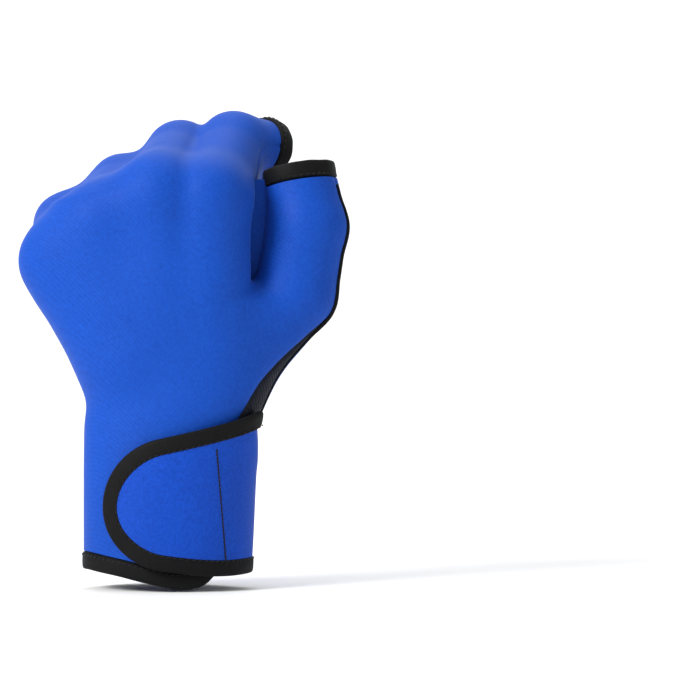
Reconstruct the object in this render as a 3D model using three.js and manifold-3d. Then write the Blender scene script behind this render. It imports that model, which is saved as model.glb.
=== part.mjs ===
// A webbed swim glove for the left hand, in the shape that it has on a closed fist.
// Millimetres. +Z runs up the forearm to the knuckles, -Y is the back of the hand and
// +X is the thumb side. The origin is the middle of the wrist opening.

import * as THREE from "three";
import Module from "manifold-3d";

const wasm = await Module();
wasm.setup();

// Driving sizes of the hand that the glove fits
const knuckleHeight = 130;
const palmBreadth = 76;
const palmThickness = 33;
const wristBreadth = 54.6;
const wristDepth = 41;
const fistTurn = 14;
const stallReach = 42;
const thumbReach = 48;
const thumbGirth = 28.4;

// Driving sizes of the cloth
const wall = 2.5;
const webWall = 2.2;
const webStart = 0.35;
const bindingWidth = 6;
const bindingProud = 0.5;
const bindingTuck = 0.3;
const seamGap = 0.3;
const cuffWave = 5.4;
const gussetWidth = 15;
const gussetHeight = 90;
const tabThickness = 3;
const tabRootHeight = 59;
const tabTipHeight = 37;
const tabTilt = 0.1;
const tabTipRound = 17;
const tabRootAngle = 16;
const tabTipAngle = -131;
const tabCentreHeight = 30.5;
const tabRootLean = 34;
const tabRootFold = 36;

// Facet sizes
const outerCell = 6.1;
const innerCell = 7.2;
const endCell = 6.1;
const seamCell = 8;
const ringSides = 16;
const wristSides = 30;
const cornerGrid = 0.002;

const blue = { color: 0x1c5ad8, roughness: 0.78, metalness: 0 };
const black = { color: 0x101114, roughness: 0.7, metalness: 0 };

// Sections from the forearm to the knuckles. rise is a share of knuckleHeight, shift of
// palmBreadth and back of palmThickness. spread goes from the wrist's breadth (0) to the
// palm's (1), flatten from the wrist's depth (0) to the palm's (1), turn is a share of
// fistTurn, and squareness is the power of the superellipse.
const sections = [
  { rise: -0.108, shift: -0.013, back: 0, spread: 0, flatten: 0, turn: 0.43, squareness: 2 },
  { rise: 0, shift: -0.012, back: 0, spread: 0, flatten: 0, turn: 0.43, squareness: 2 },
  { rise: 0.231, shift: -0.004, back: 0, spread: 0.065, flatten: 0.125, turn: 0.57, squareness: 2 },
  { rise: 0.385, shift: 0.005, back: 0, spread: 0.121, flatten: 0.25, turn: 0.71, squareness: 2.05 },
  { rise: 0.477, shift: 0.016, back: -0.015, spread: 0.159, flatten: 0.375, turn: 0.86, squareness: 2.15 },
  { rise: 0.577, shift: -0.024, back: -0.03, spread: 0.308, flatten: 0.625, turn: 1, squareness: 2.3 },
  { rise: 0.654, shift: -0.061, back: -0.045, spread: 0.57, flatten: 0.825, turn: 1, squareness: 2.4 },
  { rise: 0.731, shift: -0.1, back: -0.061, spread: 0.832, flatten: 1, turn: 1, squareness: 2.4 },
  { rise: 0.808, shift: -0.124, back: -0.061, spread: 1, flatten: 1.25, turn: 1, squareness: 2.4 },
  { rise: 0.877, shift: -0.118, back: -0.045, spread: 0.813, flatten: 1.625, turn: 1, squareness: 2.4 },
  { rise: 0.954, shift: -0.079, back: 0, spread: 0.159, flatten: 2.125, turn: 1, squareness: 2.4 },
];

// Finger stalls. Each place is [share of palmBreadth, share of stallReach, share of
// knuckleHeight]; each width is a share of the stall's plain radius.
const stallRadius = palmBreadth * 0.158;
const fingers = [
  {
    name: "index",
    root: { at: [0.145, -0.095, 0.615], width: 0.92 },
    knuckle: { at: [0.195, -0.19, 0.99], width: 1.06 },
    joint: { at: [0.315, 0.6, 1.145], width: 1.02 },
    end: { at: [0.48, 0.87, 1.135], width: 0.95 },
    faces: [0.64, 0.68, -0.3],
  },
  {
    name: "middle",
    root: { at: [-0.013, -0.119, 0.6], width: 0.92 },
    knuckle: { at: [-0.026, -0.167, 0.996], width: 1.125 },
    joint: { at: [0.07, 0.69, 1.124], width: 1 },
    end: { at: [0.134, 0.974, 1.045], width: 0.92 },
    faces: [0.36, 0.74, -0.57],
  },
  {
    name: "ring",
    root: { at: [-0.145, -0.071, 0.6], width: 0.92 },
    knuckle: { at: [-0.27, -0.048, 0.931], width: 1.085 },
    joint: { at: [-0.195, 0.738, 1.036], width: 0.97 },
    end: { at: [-0.138, 0.986, 0.969], width: 0.88 },
    faces: [0.36, 0.74, -0.57],
  },
  {
    name: "little",
    root: { at: [-0.224, 0, 0.585], width: 0.88 },
    knuckle: { at: [-0.454, 0.143, 0.846], width: 1.04 },
    joint: { at: [-0.455, 0.714, 0.934], width: 0.94 },
    end: { at: [-0.412, 0.943, 0.874], width: 0.87 },
    faces: [0.36, 0.74, -0.57],
  },
];

// Thumb stall, from the ball of the thumb to its opening. Each place is [share of
// thumbReach, share of stallReach, share of knuckleHeight]; width is a share of half of
// thumbGirth.
const thumb = [
  { at: [0.292, 0.048, 0.485], width: 1.056 },
  { at: [0.93, 0.071, 0.746], width: 1.007 },
  { at: [1.02, 0.071, 0.923], width: 1 },
  { at: [0.955, 0.13, 1.085], width: 0.86 },
];

// Height of the cuff's hem round the wrist: turn in degrees from the thumb side, with the
// back of the hand at -90, and height as a share of cuffWave. The step at -46 is the
// rounded corner of the back panel, under the tab.
const hem = [
  { turn: -180, height: 0.46 },
  { turn: -150, height: 0.46 },
  { turn: -120, height: 0.15 },
  { turn: -95, height: -0.3 },
  { turn: -77, height: -0.62 },
  { turn: -62, height: -0.6 },
  { turn: -52, height: -0.28 },
  { turn: -45, height: 0.2 },
  { turn: -36, height: 0.5 },
  { turn: 0, height: 0.58 },
  { turn: 45, height: 0.2 },
  { turn: 90, height: -0.1 },
  { turn: 135, height: 0.2 },
  { turn: 180, height: 0.46 },
];

// Small sums
const clamp = (value, low, high) => Math.min(Math.max(value, low), high);
const mix = (a, b, t) => a + (b - a) * t;
const radians = THREE.MathUtils.degToRad;

function smoothMin(a, b, reach) {
  const h = clamp(0.5 + (0.5 * (b - a)) / reach, 0, 1);
  return mix(b, a, h) - reach * h * (1 - h);
}

// A smooth curve through the rows of a table, for the columns that are asked for
function readTable(rows, key, at, columns) {
  let i = 0;
  while (i < rows.length - 2 && at > rows[i + 1][key]) i += 1;
  const before = rows[Math.max(i - 1, 0)];
  const low = rows[i];
  const high = rows[i + 1];
  const after = rows[Math.min(i + 2, rows.length - 1)];
  const span = high[key] - low[key];
  const t = clamp((at - low[key]) / span, 0, 1);
  const found = {};
  for (const column of columns) {
    const leave = ((high[column] - before[column]) / (high[key] - before[key])) * span;
    const arrive = ((after[column] - low[column]) / (after[key] - low[key])) * span;
    found[column] =
      (2 * t ** 3 - 3 * t ** 2 + 1) * low[column] +
      (t ** 3 - 2 * t ** 2 + t) * leave +
      (3 * t ** 2 - 2 * t ** 3) * high[column] +
      (t ** 3 - t ** 2) * arrive;
  }
  return found;
}

// The section of the arm and palm at a height, in millimetres
const sectionColumns = ["shift", "back", "spread", "flatten", "turn", "squareness"];
function sectionAt(z) {
  const row = readTable(sections, "rise", z / knuckleHeight, sectionColumns);
  return {
    x: row.shift * palmBreadth,
    y: row.back * palmThickness,
    halfWidth: mix(wristBreadth, palmBreadth, row.spread) / 2,
    halfDepth: mix(wristDepth, palmThickness, row.flatten) / 2,
    turn: radians(row.turn * fistTurn),
    squareness: row.squareness,
  };
}

// Where a point lies in its section: across to the thumb and through to the palm
function inSection(p, section) {
  const dx = p[0] - section.x;
  const dy = p[1] - section.y;
  return {
    across: dx * Math.cos(section.turn) - dy * Math.sin(section.turn),
    through: dx * Math.sin(section.turn) + dy * Math.cos(section.turn),
  };
}

// Distance to the arm and palm, less than nought inside
function palmDistance(p, inset, bottom) {
  const section = sectionAt(p[2]);
  const { across, through } = inSection(p, section);
  const halfWidth = section.halfWidth - inset;
  const halfDepth = section.halfDepth - inset;
  const n = section.squareness;
  const u = Math.abs(across) / halfWidth;
  const v = Math.abs(through) / halfDepth;
  const k = Math.max((u ** n + v ** n) ** (1 / n), 1e-6);
  const slopeU = (u / k) ** (n - 1) / halfWidth;
  const slopeV = (v / k) ** (n - 1) / halfDepth;
  const side = (k - 1) / (Math.hypot(slopeU, slopeV) + 1e-6);
  const top = p[2] - sections[sections.length - 1].rise * knuckleHeight + inset;
  return Math.max(side, top, bottom - p[2]);
}

// Distance to a round limb between two places, its radius changing evenly
function limbDistance(p, from, to, inset) {
  const along = to.at.map((value, i) => value - from.at[i]);
  const offset = p.map((value, i) => value - from.at[i]);
  const length2 = along.reduce((sum, value) => sum + value * value, 0);
  const dot = along.reduce((sum, value, i) => sum + value * offset[i], 0);
  const t = clamp(dot / length2, 0, 1);
  const away = Math.hypot(...offset.map((value, i) => value - along[i] * t));
  return away - mix(from.radius, to.radius, t) + inset;
}

// The finger and thumb places in millimetres
const scaleBy = (at, scales) => at.map((value, i) => value * scales[i]);
const fingerScales = [palmBreadth, stallReach, knuckleHeight];
const thumbScales = [thumbReach, stallReach, knuckleHeight];
const fingerPlace = (row) => ({ at: scaleBy(row.at, fingerScales), radius: row.width * stallRadius });

const stalls = fingers.map((finger) => ({
  name: finger.name,
  root: fingerPlace(finger.root),
  knuckle: fingerPlace(finger.knuckle),
  joint: fingerPlace(finger.joint),
  end: fingerPlace(finger.end),
  faces: new THREE.Vector3(...finger.faces).normalize(),
}));

const thumbPlaces = thumb.map((row) => ({
  at: scaleBy(row.at, thumbScales),
  radius: (row.width * thumbGirth) / 2,
}));
const thumbEnd = thumbPlaces[thumbPlaces.length - 1];
const thumbStart = thumbPlaces[thumbPlaces.length - 2];
const thumbFaces = new THREE.Vector3(...thumbEnd.at).sub(new THREE.Vector3(...thumbStart.at)).normalize();

// How widely neighbouring forms melt together
const jointBlend = 3;
const rootBlend = 10;
const webBlend = { skin: 8, hollow: 9 };
const palmBlend = 10;
const thumbBlend = 2;
const crotchBlend = 5;
const crotchTop = 0.82;

function fingerDistance(p, stall, inset) {
  const bone = limbDistance(p, stall.knuckle, stall.joint, inset);
  const tip = limbDistance(p, stall.joint, stall.end, inset);
  const root = limbDistance(p, stall.root, stall.knuckle, inset);
  return smoothMin(smoothMin(bone, tip, jointBlend), root, rootBlend);
}

function thumbDistance(p, inset) {
  let distance = Infinity;
  for (let i = 0; i < thumbPlaces.length - 1; i += 1) {
    const limb = limbDistance(p, thumbPlaces[i], thumbPlaces[i + 1], inset);
    distance = i === 0 ? limb : smoothMin(distance, limb, thumbBlend);
  }
  return distance;
}

// The hand: its outer skin at an inset of nought, the hollow at an inset of the wall. The
// hollow leaves out the webs between the stalls, which are put back as sheets.
function handDistance(p, inset, web, bottom) {
  let distance = Infinity;
  for (const stall of stalls) {
    const finger = fingerDistance(p, stall, inset);
    distance = distance === Infinity ? finger : smoothMin(distance, finger, web);
  }
  distance = smoothMin(palmDistance(p, inset, bottom), distance, palmBlend);
  const apart = THREE.MathUtils.smoothstep(p[2] / knuckleHeight, crotchTop - 0.1, crotchTop);
  return smoothMin(distance, thumbDistance(p, inset), mix(crotchBlend, 0.5, apart));
}

// Seam sheet: less than nought towards the back of the hand, more towards the palm. Each
// limb gives the distance from its own mid plane, and the nearest limb counts most.
const seamBlend = 3.5;
const seamBack = 1;
const thumbWebSlope = 0.42;
const thumbWebFrom = 0.6;
const thumbWebTo = 0.78;
const thumbSeamFront = 2.5;
const fingerSeamUnder = 2.5;

const vectorBetween = (from, to) => new THREE.Vector3(...to.at).sub(new THREE.Vector3(...from.at));
const towardsPalm = new THREE.Vector3(0.2, 1, 0);
const seamLimbs = [];
stalls.forEach((stall, i) => {
  const inner = stalls[Math.max(i - 1, 0)];
  const outer = stalls[Math.min(i + 1, stalls.length - 1)];
  const row = vectorBetween(outer.joint, inner.joint);
  for (const [from, to] of [[stall.knuckle, stall.joint], [stall.joint, stall.end]]) {
    const normal = vectorBetween(from, to).cross(row).normalize();
    seamLimbs.push({ from, to, normal, front: -fingerSeamUnder });
  }
});
for (let i = 0; i < thumbPlaces.length - 1; i += 1) {
  const [from, to] = [thumbPlaces[i], thumbPlaces[i + 1]];
  const axis = vectorBetween(from, to).normalize();
  const normal = towardsPalm.clone().addScaledVector(axis, -towardsPalm.dot(axis)).normalize();
  seamLimbs.push({ from, to, normal, front: thumbSeamFront });
}

function seamDistance(p) {
  const { across, through } = inSection(p, sectionAt(p[2]));
  const palm = palmDistance(p, 0, -Infinity);
  const web = THREE.MathUtils.smoothstep(p[2] / knuckleHeight, thumbWebFrom, thumbWebTo);
  const back = seamBack + web * thumbWebSlope * Math.max(across, 0);
  const found = [{ away: palm, side: through - back }];
  for (const limb of seamLimbs) {
    const away = limbDistance(p, limb.from, limb.to, 0);
    const side = p.reduce((sum, value, i) => sum + (value - limb.from.at[i]) * limb.normal.getComponent(i), 0);
    found.push({ away, side: side + limb.front });
  }
  const nearest = Math.min(...found.map((one) => one.away));
  let weights = 0;
  let total = 0;
  for (const one of found) {
    const weight = Math.exp((nearest - one.away) / seamBlend);
    weights += weight;
    total += weight * one.side;
  }
  return total / weights;
}

// The back panel's edge leaves the seam on the thumb side of the wrist, where the gusset
// lies between it and the palm panel
const gussetFull = 0.5;
function backEdgeDistance(p) {
  const open = clamp((gussetHeight - p[2]) / (gussetHeight * (1 - gussetFull)), 0, 1);
  const thumbSide = clamp(p[0] / (wristBreadth / 4), 0, 1);
  return seamDistance(p) + gussetWidth * open * thumbSide;
}

// Past the finger openings: more than nought beyond the plane of the nearest opening
const endBlend = 2.5;
function beyondFingers(p) {
  let weights = 0;
  let total = 0;
  const found = stalls.map((stall) => ({
    away: limbDistance(p, stall.joint, stall.end, 0),
    past: stall.end.at.reduce((sum, value, i) => sum + (p[i] - value) * stall.faces.getComponent(i), 0),
  }));
  const nearest = Math.min(...found.map((one) => one.away));
  for (const one of found) {
    const weight = Math.exp((nearest - one.away) / endBlend);
    weights += weight;
    total += weight * one.past;
  }
  return total / weights;
}

// Closed skin of a field, one point in each cell that the skin crosses
const cellCorners = [0, 1, 2, 3, 4, 5, 6, 7].map((c) => [c & 1, (c >> 1) & 1, (c >> 2) & 1]);
const cellEdges = [];
for (let c = 0; c < 8; c += 1) {
  for (const bit of [1, 2, 4]) {
    if (!(c & bit)) cellEdges.push([c, c | bit]);
  }
}
const cellFaces = [];
for (let axis = 0; axis < 3; axis += 1) {
  for (const side of [0, 1]) {
    const corners = [0, 1, 2, 3, 4, 5, 6, 7].filter((c) => cellCorners[c][axis] === side);
    cellFaces.push(cellEdges.map((edge, i) => i).filter((i) => cellEdges[i].every((c) => corners.includes(c))));
  }
}

// Which crossed edges of a cell belong to one sheet of the skin
function sheetsOfCell(inside) {
  const crossed = cellEdges.map(([a, b]) => inside[a] !== inside[b]);
  const group = cellEdges.map((edge, i) => i);
  const find = (i) => (group[i] === i ? i : find(group[i]));
  for (const face of cellFaces) {
    const cut = face.filter((i) => crossed[i]);
    if (cut.length === 2) group[find(cut[0])] = find(cut[1]);
    if (cut.length === 4) {
      for (const c of new Set(cut.flatMap((i) => cellEdges[i]))) {
        const pair = cut.filter((i) => cellEdges[i].includes(c));
        if (inside[c]) group[find(pair[0])] = find(pair[1]);
      }
    }
  }
  return cellEdges.map((edge, i) => (crossed[i] ? find(i) : -1));
}

function gradientOf(field, p) {
  const step = 0.1;
  return [0, 1, 2].map((axis) => {
    const ahead = [...p];
    const behind = [...p];
    ahead[axis] += step;
    behind[axis] -= step;
    return (field(ahead) - field(behind)) / (2 * step);
  });
}

function settle(field, start, room) {
  let p = start;
  for (let round = 0; round < 3; round += 1) {
    const value = field(p);
    const slope = gradientOf(field, p);
    const size2 = slope.reduce((sum, one) => sum + one * one, 0) + 1e-9;
    p = p.map((one, i) => clamp(one - (value * slope[i]) / size2, start[i] - room, start[i] + room));
  }
  return p;
}

// A skin that touches itself on one grid is made on a grid that lies a little beside it.
// Each shift is a share of a cell.
const gridShifts = [0, 0.09, -0.09, 0.21, -0.21, 0.33];
function skinOf(field, lines, room, push = 0) {
  let trouble = null;
  for (const shift of gridShifts) {
    const moved = lines.map((line) => line.map((value) => value + shift * (line[1] - line[0])));
    try {
      return skinOnGrid(field, moved, room, push);
    } catch (problem) {
      trouble = problem;
    }
  }
  throw trouble;
}

// A push moves the whole skin along the field's slope without changing its facets
function skinOnGrid(field, lines, room, push) {
  const [xs, ys, zs] = lines;
  const size = lines.map((line) => line.length);
  const at = (i, j, k) => (i * size[1] + j) * size[2] + k;
  const values = new Float64Array(size[0] * size[1] * size[2]);
  for (let i = 0; i < size[0]; i += 1) {
    for (let j = 0; j < size[1]; j += 1) {
      for (let k = 0; k < size[2]; k += 1) values[at(i, j, k)] = field([xs[i], ys[j], zs[k]]);
    }
  }
  const points = [];
  const owner = new Map();
  for (let i = 0; i < size[0] - 1; i += 1) {
    for (let j = 0; j < size[1] - 1; j += 1) {
      for (let k = 0; k < size[2] - 1; k += 1) {
        const corner = cellCorners.map(([a, b, c]) => values[at(i + a, j + b, k + c)]);
        const inside = corner.map((value) => value < 0);
        if (inside.every((one) => one === inside[0])) continue;
        const sheets = sheetsOfCell(inside);
        const places = {};
        cellEdges.forEach(([a, b], edge) => {
          if (sheets[edge] < 0) return;
          const t = corner[a] / (corner[a] - corner[b]);
          const [ca, cb] = [cellCorners[a], cellCorners[b]];
          const place = lines.map((line, axis) => {
            const index = [i, j, k][axis];
            return mix(line[index + ca[axis]], line[index + cb[axis]], t);
          });
          (places[sheets[edge]] ??= []).push(place);
        });
        const number = {};
        for (const [sheet, list] of Object.entries(places)) {
          const middle = [0, 1, 2].map((axis) => list.reduce((sum, one) => sum + one[axis], 0) / list.length);
          number[sheet] = points.length / 3;
          const place = settle(field, middle, room);
          const slope = gradientOf(field, place);
          const size = Math.hypot(...slope) + 1e-9;
          points.push(...place.map((value, axis) => value + (slope[axis] / size) * push));
        }
        sheets.forEach((sheet, edge) => {
          if (sheet < 0) return;
          const [a, b] = cellEdges[edge];
          const axis = [1, 2, 4].indexOf(a ^ b);
          const [da, db, dc] = cellCorners[a];
          const key = at(i + da, j + db, k + dc) * 3 + axis;
          const around = [i, j, k].map((value, n) => value + [da, db, dc][n]);
          if (!owner.has(key)) owner.set(key, { axis, around, inside: inside[a], cells: [] });
          owner.get(key).cells.push({ offset: [1 - da, 1 - db, 1 - dc], point: number[sheet] });
        });
      }
    }
  }
  const triangles = [];
  for (const { axis, inside, cells } of owner.values()) {
    if (cells.length !== 4) continue;
    const [u, v] = [(axis + 1) % 3, (axis + 2) % 3];
    const order = [[0, 0], [1, 0], [1, 1], [0, 1]].map(([a, b]) =>
      cells.find((cell) => cell.offset[u] === a && cell.offset[v] === b).point
    );
    if (!inside) order.reverse();
    const [p, q, r, s] = order.map((one) => new THREE.Vector3().fromArray(points, one * 3));
    if (p.distanceTo(r) < q.distanceTo(s)) {
      triangles.push(order[0], order[1], order[2], order[0], order[2], order[3]);
    } else {
      triangles.push(order[1], order[2], order[3], order[1], order[3], order[0]);
    }
  }
  return solidOf(points, triangles);
}

function solidOf(points, triangles) {
  const corner = (i) => new THREE.Vector3().fromArray(points, triangles[i] * 3);
  let volume = 0;
  for (let i = 0; i < triangles.length; i += 3) volume += corner(i).dot(corner(i + 1).cross(corner(i + 2)));
  if (volume < 0) triangles.reverse();
  const mesh = new wasm.Mesh({
    numProp: 3,
    vertProperties: new Float32Array(points),
    triVerts: new Uint32Array(triangles),
  });
  mesh.merge();
  return new wasm.Manifold(mesh);
}

// Evenly spaced planes of the grid over a range
function gridLine(low, high, step) {
  const count = Math.ceil((high - low) / step);
  return Array.from({ length: count + 1 }, (unused, i) => mix(low, high, i / count));
}

const margin = 4;
const handLow = [-palmBreadth * 0.72, -palmThickness * 0.8, sections[0].rise * knuckleHeight];
const handHigh = [
  thumbReach + thumbGirth / 2,
  stallReach + stallRadius * 2,
  knuckleHeight * 1.13 + stallRadius,
];

function handLines(cell) {
  const low = handLow.map((value) => value - margin);
  const high = handHigh.map((value) => value + margin);
  const plainTop = gussetHeight * 0.6;
  return [
    gridLine(low[0], high[0], cell),
    gridLine(low[1], high[1], cell),
    [...gridLine(low[2], plainTop, cell * 1.7), ...gridLine(plainTop, high[2], cell).slice(1)],
  ];
}

// Rings and sheets round the wrist, made of stations joined by quads
function wristPoint(turn, z, offset) {
  const section = sectionAt(z);
  const n = 2 / section.squareness;
  const [c, s] = [Math.cos(radians(turn)), Math.sin(radians(turn))];
  const u = section.halfWidth * Math.sign(c) * Math.abs(c) ** n;
  const v = section.halfDepth * Math.sign(s) * Math.abs(s) ** n;
  const normal = new THREE.Vector2(c / section.halfWidth, s / section.halfDepth).normalize();
  const across = u + normal.x * offset;
  const through = v + normal.y * offset;
  return [
    section.x + across * Math.cos(section.turn) + through * Math.sin(section.turn),
    section.y - across * Math.sin(section.turn) + through * Math.cos(section.turn),
    z,
  ];
}

// The same, moved out square to the wrist until it stands the offset clear of the skin
function overSkin(turn, z, offset) {
  let out = offset;
  for (let round = 0; round < 4; round += 1) {
    out += offset - handDistance(wristPoint(turn, z, out), 0, webBlend.skin, -Infinity);
  }
  return wristPoint(turn, z, Math.max(out, offset));
}

// A closed solid from stations, each the same number of points round its outline
function sweptSolid(stations, closed) {
  const count = stations[0].length;
  const points = stations.flat(2);
  const triangles = [];
  const last = closed ? stations.length : stations.length - 1;
  for (let i = 0; i < last; i += 1) {
    const next = (i + 1) % stations.length;
    for (let j = 0; j < count; j += 1) {
      const k = (j + 1) % count;
      const [a, b, c, d] = [i * count + j, i * count + k, next * count + k, next * count + j];
      triangles.push(a, c, b, a, d, c);
    }
  }
  if (!closed) {
    const end = (stations.length - 1) * count;
    for (let j = 1; j < count - 1; j += 1) {
      triangles.push(0, j, j + 1);
      triangles.push(end, end + j + 1, end + j);
    }
  }
  return solidOf(points, triangles);
}

const hemAt = (turn) => readTable(hem, "turn", turn, ["height"]).height * cuffWave;

// A band round the wrist between two heights that follow the turn, and two offsets
function wristBand(low, high, inside, outside, ease) {
  const stations = [];
  for (let i = 0; i < wristSides; i += 1) {
    const turn = 180 - (360 * i) / wristSides;
    const [bottom, top] = [low(turn), high(turn)];
    stations.push([
      wristPoint(turn, bottom, inside),
      wristPoint(turn, top, inside),
      wristPoint(turn, top, outside - ease),
      wristPoint(turn, top - ease, outside),
      wristPoint(turn, bottom + ease, outside),
      wristPoint(turn, bottom, outside - ease),
    ]);
  }
  return sweptSolid(stations, true);
}

// The wrist tab: a sheet that lies round the wrist, its far end rounded
const tabRest = bindingProud + seamGap + 0.05;
function tabOutline(share, inset) {
  const length = radians(tabRootAngle - tabTipAngle) * ((wristBreadth + wristDepth) / 4 + tabRest);
  const run = share * length;
  const toTip = length - run - inset;
  const round = tabTipRound - inset * 0.4;
  const rest = clamp(1 - toTip / round, 0, 1);
  const fullness = Math.sqrt(Math.max(1 - rest * rest, 0));
  const half = mix(tabRootHeight, tabTipHeight, share) / 2 - inset;
  const centre = tabCentreHeight - tabTilt * run;
  return { low: centre - half * fullness, high: centre + half * fullness };
}

function tabSheet(inset, inside, outside, past, rows) {
  const stations = [];
  const tipAngle = tabTipAngle + inset * 2.1;
  const turns = rows.map((row) => mix(tabRootAngle, tipAngle, row));
  if (past > 0) turns.unshift(tabRootAngle + past);
  for (const turn of turns) {
    const share = clamp((turn - tabRootAngle) / (tabTipAngle - tabRootAngle), 0, 1);
    const { low, high } = tabOutline(share, inset);
    const heights = [0, 0.25, 0.5, 0.75, 1].map((t) => mix(low - 0.05, high + 0.05, t));
    stations.push([
      ...heights.map((z) => overSkin(turn, z, inside)),
      ...[...heights].reverse().map((z) => overSkin(turn, z, outside)),
    ]);
  }
  return sweptSolid(stations, false);
}

// A round binding: a turned ring with eased edges, set at an opening and facing out of it
function openingRing(end, faces, width, inside, outside, ease) {
  const profile = [
    [inside, -width],
    [outside - ease, -width],
    [outside, ease - width],
    [outside, -ease],
    [outside - ease, 0],
    [inside, 0],
  ];
  const outline = [...profile, profile[0]].map(([r, h]) => new THREE.Vector2(r, h));
  const geometry = new THREE.LatheGeometry(outline, ringSides);
  return placedSolid(geometry, end, faces);
}

function placedSolid(geometry, at, faces) {
  const turn = new THREE.Quaternion().setFromUnitVectors(new THREE.Vector3(0, 1, 0), faces);
  geometry.applyQuaternion(turn);
  geometry.translate(...at);
  const { points, triangles } = joinCorners(geometry.attributes.position.array, geometry.index.array, 1e-4);
  return solidOf(points, triangles);
}

// Corners that round to one place become one, and faces that fold flat by it go
function joinCorners(places, indices, grid) {
  const points = [];
  const number = new Map();
  const renumbered = Array.from(indices, (index) => {
    const place = [0, 1, 2].map((axis) => Math.round(places[index * 3 + axis] / grid) * grid);
    const key = place.map((value) => value.toFixed(5)).join(" ");
    if (!number.has(key)) {
      number.set(key, points.length / 3);
      points.push(...place);
    }
    return number.get(key);
  });
  const faces = new Map();
  for (let i = 0; i < renumbered.length; i += 3) {
    const face = renumbered.slice(i, i + 3);
    if (new Set(face).size < 3) continue;
    const key = [...face].sort((m, n) => m - n).join(" ");
    if (faces.has(key)) faces.delete(key);
    else faces.set(key, face);
  }
  return { points, triangles: [...faces.values()].flat() };
}

// The sheet of the web between two neighbouring stalls, from its free edge in the hollow
// to past the openings, and tall enough to reach both skins
function webSheet(one, other) {
  const along = (stall, share) => {
    const from = new THREE.Vector3(...stall.knuckle.at);
    const joint = new THREE.Vector3(...stall.joint.at);
    const end = new THREE.Vector3(...stall.end.at);
    return share < 1 ? from.lerp(joint, share) : joint.lerp(end, share - 1);
  };
  const stations = [webStart, 0.75, 1, 1.5, 2.4].map((share) => {
    const [a, b] = [along(one, share), along(other, share)];
    const across = a.clone().sub(b).normalize();
    const ahead = along(one, share + 0.05).sub(along(one, share - 0.05)).normalize();
    const up = across.clone().cross(ahead).normalize();
    const middle = a.add(b).multiplyScalar(0.5);
    return [[-1, -1], [1, -1], [1, 1], [-1, 1]].map(([side, rise]) =>
      middle
        .clone()
        .addScaledVector(across, (side * webWall) / 2)
        .addScaledVector(up, rise * stallRadius * 1.2)
        .toArray()
    );
  });
  return sweptSolid(stations, false);
}

// The web between the palm's side and the thumb. Each row is [height as a share of
// knuckleHeight, ends as shares of palmBreadth, middle as a share of palmThickness].
const thumbWebRows = [
  [0.7, 0.27, 0.5, -0.05],
  [0.8, 0.25, 0.48, -0.05],
  [0.9, 0.22, 0.5, -0.05],
  [0.97, 0.2, 0.52, -0.05],
  [1.02, 0.2, 0.54, -0.05],
];
function thumbWebSheet() {
  const stations = thumbWebRows.map(([rise, from, to, middle]) => {
    const z = rise * knuckleHeight;
    const y = middle * palmThickness;
    const [low, high] = [from * palmBreadth, to * palmBreadth];
    const halfWeb = wall / 2;
    return [[low, y - halfWeb, z], [high, y - halfWeb, z], [high, y + halfWeb, z], [low, y + halfWeb, z]];
  });
  return sweptSolid(stations, false);
}

// The room past an opening, domed like the end of the limb that it takes away
function pastOpening(end, faces, behind, radius) {
  const dome = [0, 22.5, 45, 67.5, 90].map((turn) => [Math.cos(radians(turn)) * radius, Math.sin(radians(turn)) * radius]);
  const outline = [[0, -behind], [radius, -behind], ...dome].map(([r, h]) => new THREE.Vector2(r, h));
  return placedSolid(new THREE.LatheGeometry(outline, ringSides), end, faces);
}

// The whole shell
const outerBottom = handLow[2] + 1;
const innerBottom = handLow[2] - 1;
const outerSkin = skinOf((p) => handDistance(p, 0, webBlend.skin, outerBottom), handLines(outerCell), outerCell);
let hollow = skinOf((p) => handDistance(p, wall, webBlend.hollow, innerBottom), handLines(innerCell), innerCell);
for (let i = 0; i < stalls.length - 1; i += 1) hollow = hollow.subtract(webSheet(stalls[i], stalls[i + 1]));
let shell = outerSkin.add(thumbWebSheet()).subtract(hollow);

const bound = bindingWidth + seamGap;
const cuffCut = wristBand(
  () => handLow[2] - margin,
  (turn) => hemAt(turn) + bound,
  -wristDepth * 0.3,
  wristDepth * 0.2,
  0.01
);
shell = shell.subtract(cuffCut);

const endReach = 16;
const nearEnds = (p) =>
  Math.min(
    ...stalls.map((stall) => {
      const beyond = { at: stall.end.at.map((v, i) => v + stall.faces.getComponent(i) * endReach), radius: endReach };
      const start = { at: stall.end.at, radius: endReach };
      return limbDistance(p, start, beyond, 0);
    })
  );
const endLow = [-palmBreadth * 0.62, stallReach * 0.1, knuckleHeight * 0.55];
const endHigh = [palmBreadth * 0.95, stallReach * 1.75, knuckleHeight * 1.34];
const endLines = [0, 1, 2].map((axis) => gridLine(endLow[axis], endHigh[axis], endCell));
shell = shell.subtract(skinOf((p) => Math.max(-beyondFingers(p) - bound, nearEnds(p)), endLines, endCell));
for (const stall of stalls) {
  const clear = stall.end.radius + bindingProud + seamGap;
  shell = shell.subtract(pastOpening(stall.end.at, stall.faces, bound, clear));
}
const thumbClear = thumbEnd.radius + bindingProud + seamGap * 1.5;
shell = shell.subtract(pastOpening(thumbEnd.at, thumbFaces, bound, thumbClear));

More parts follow.
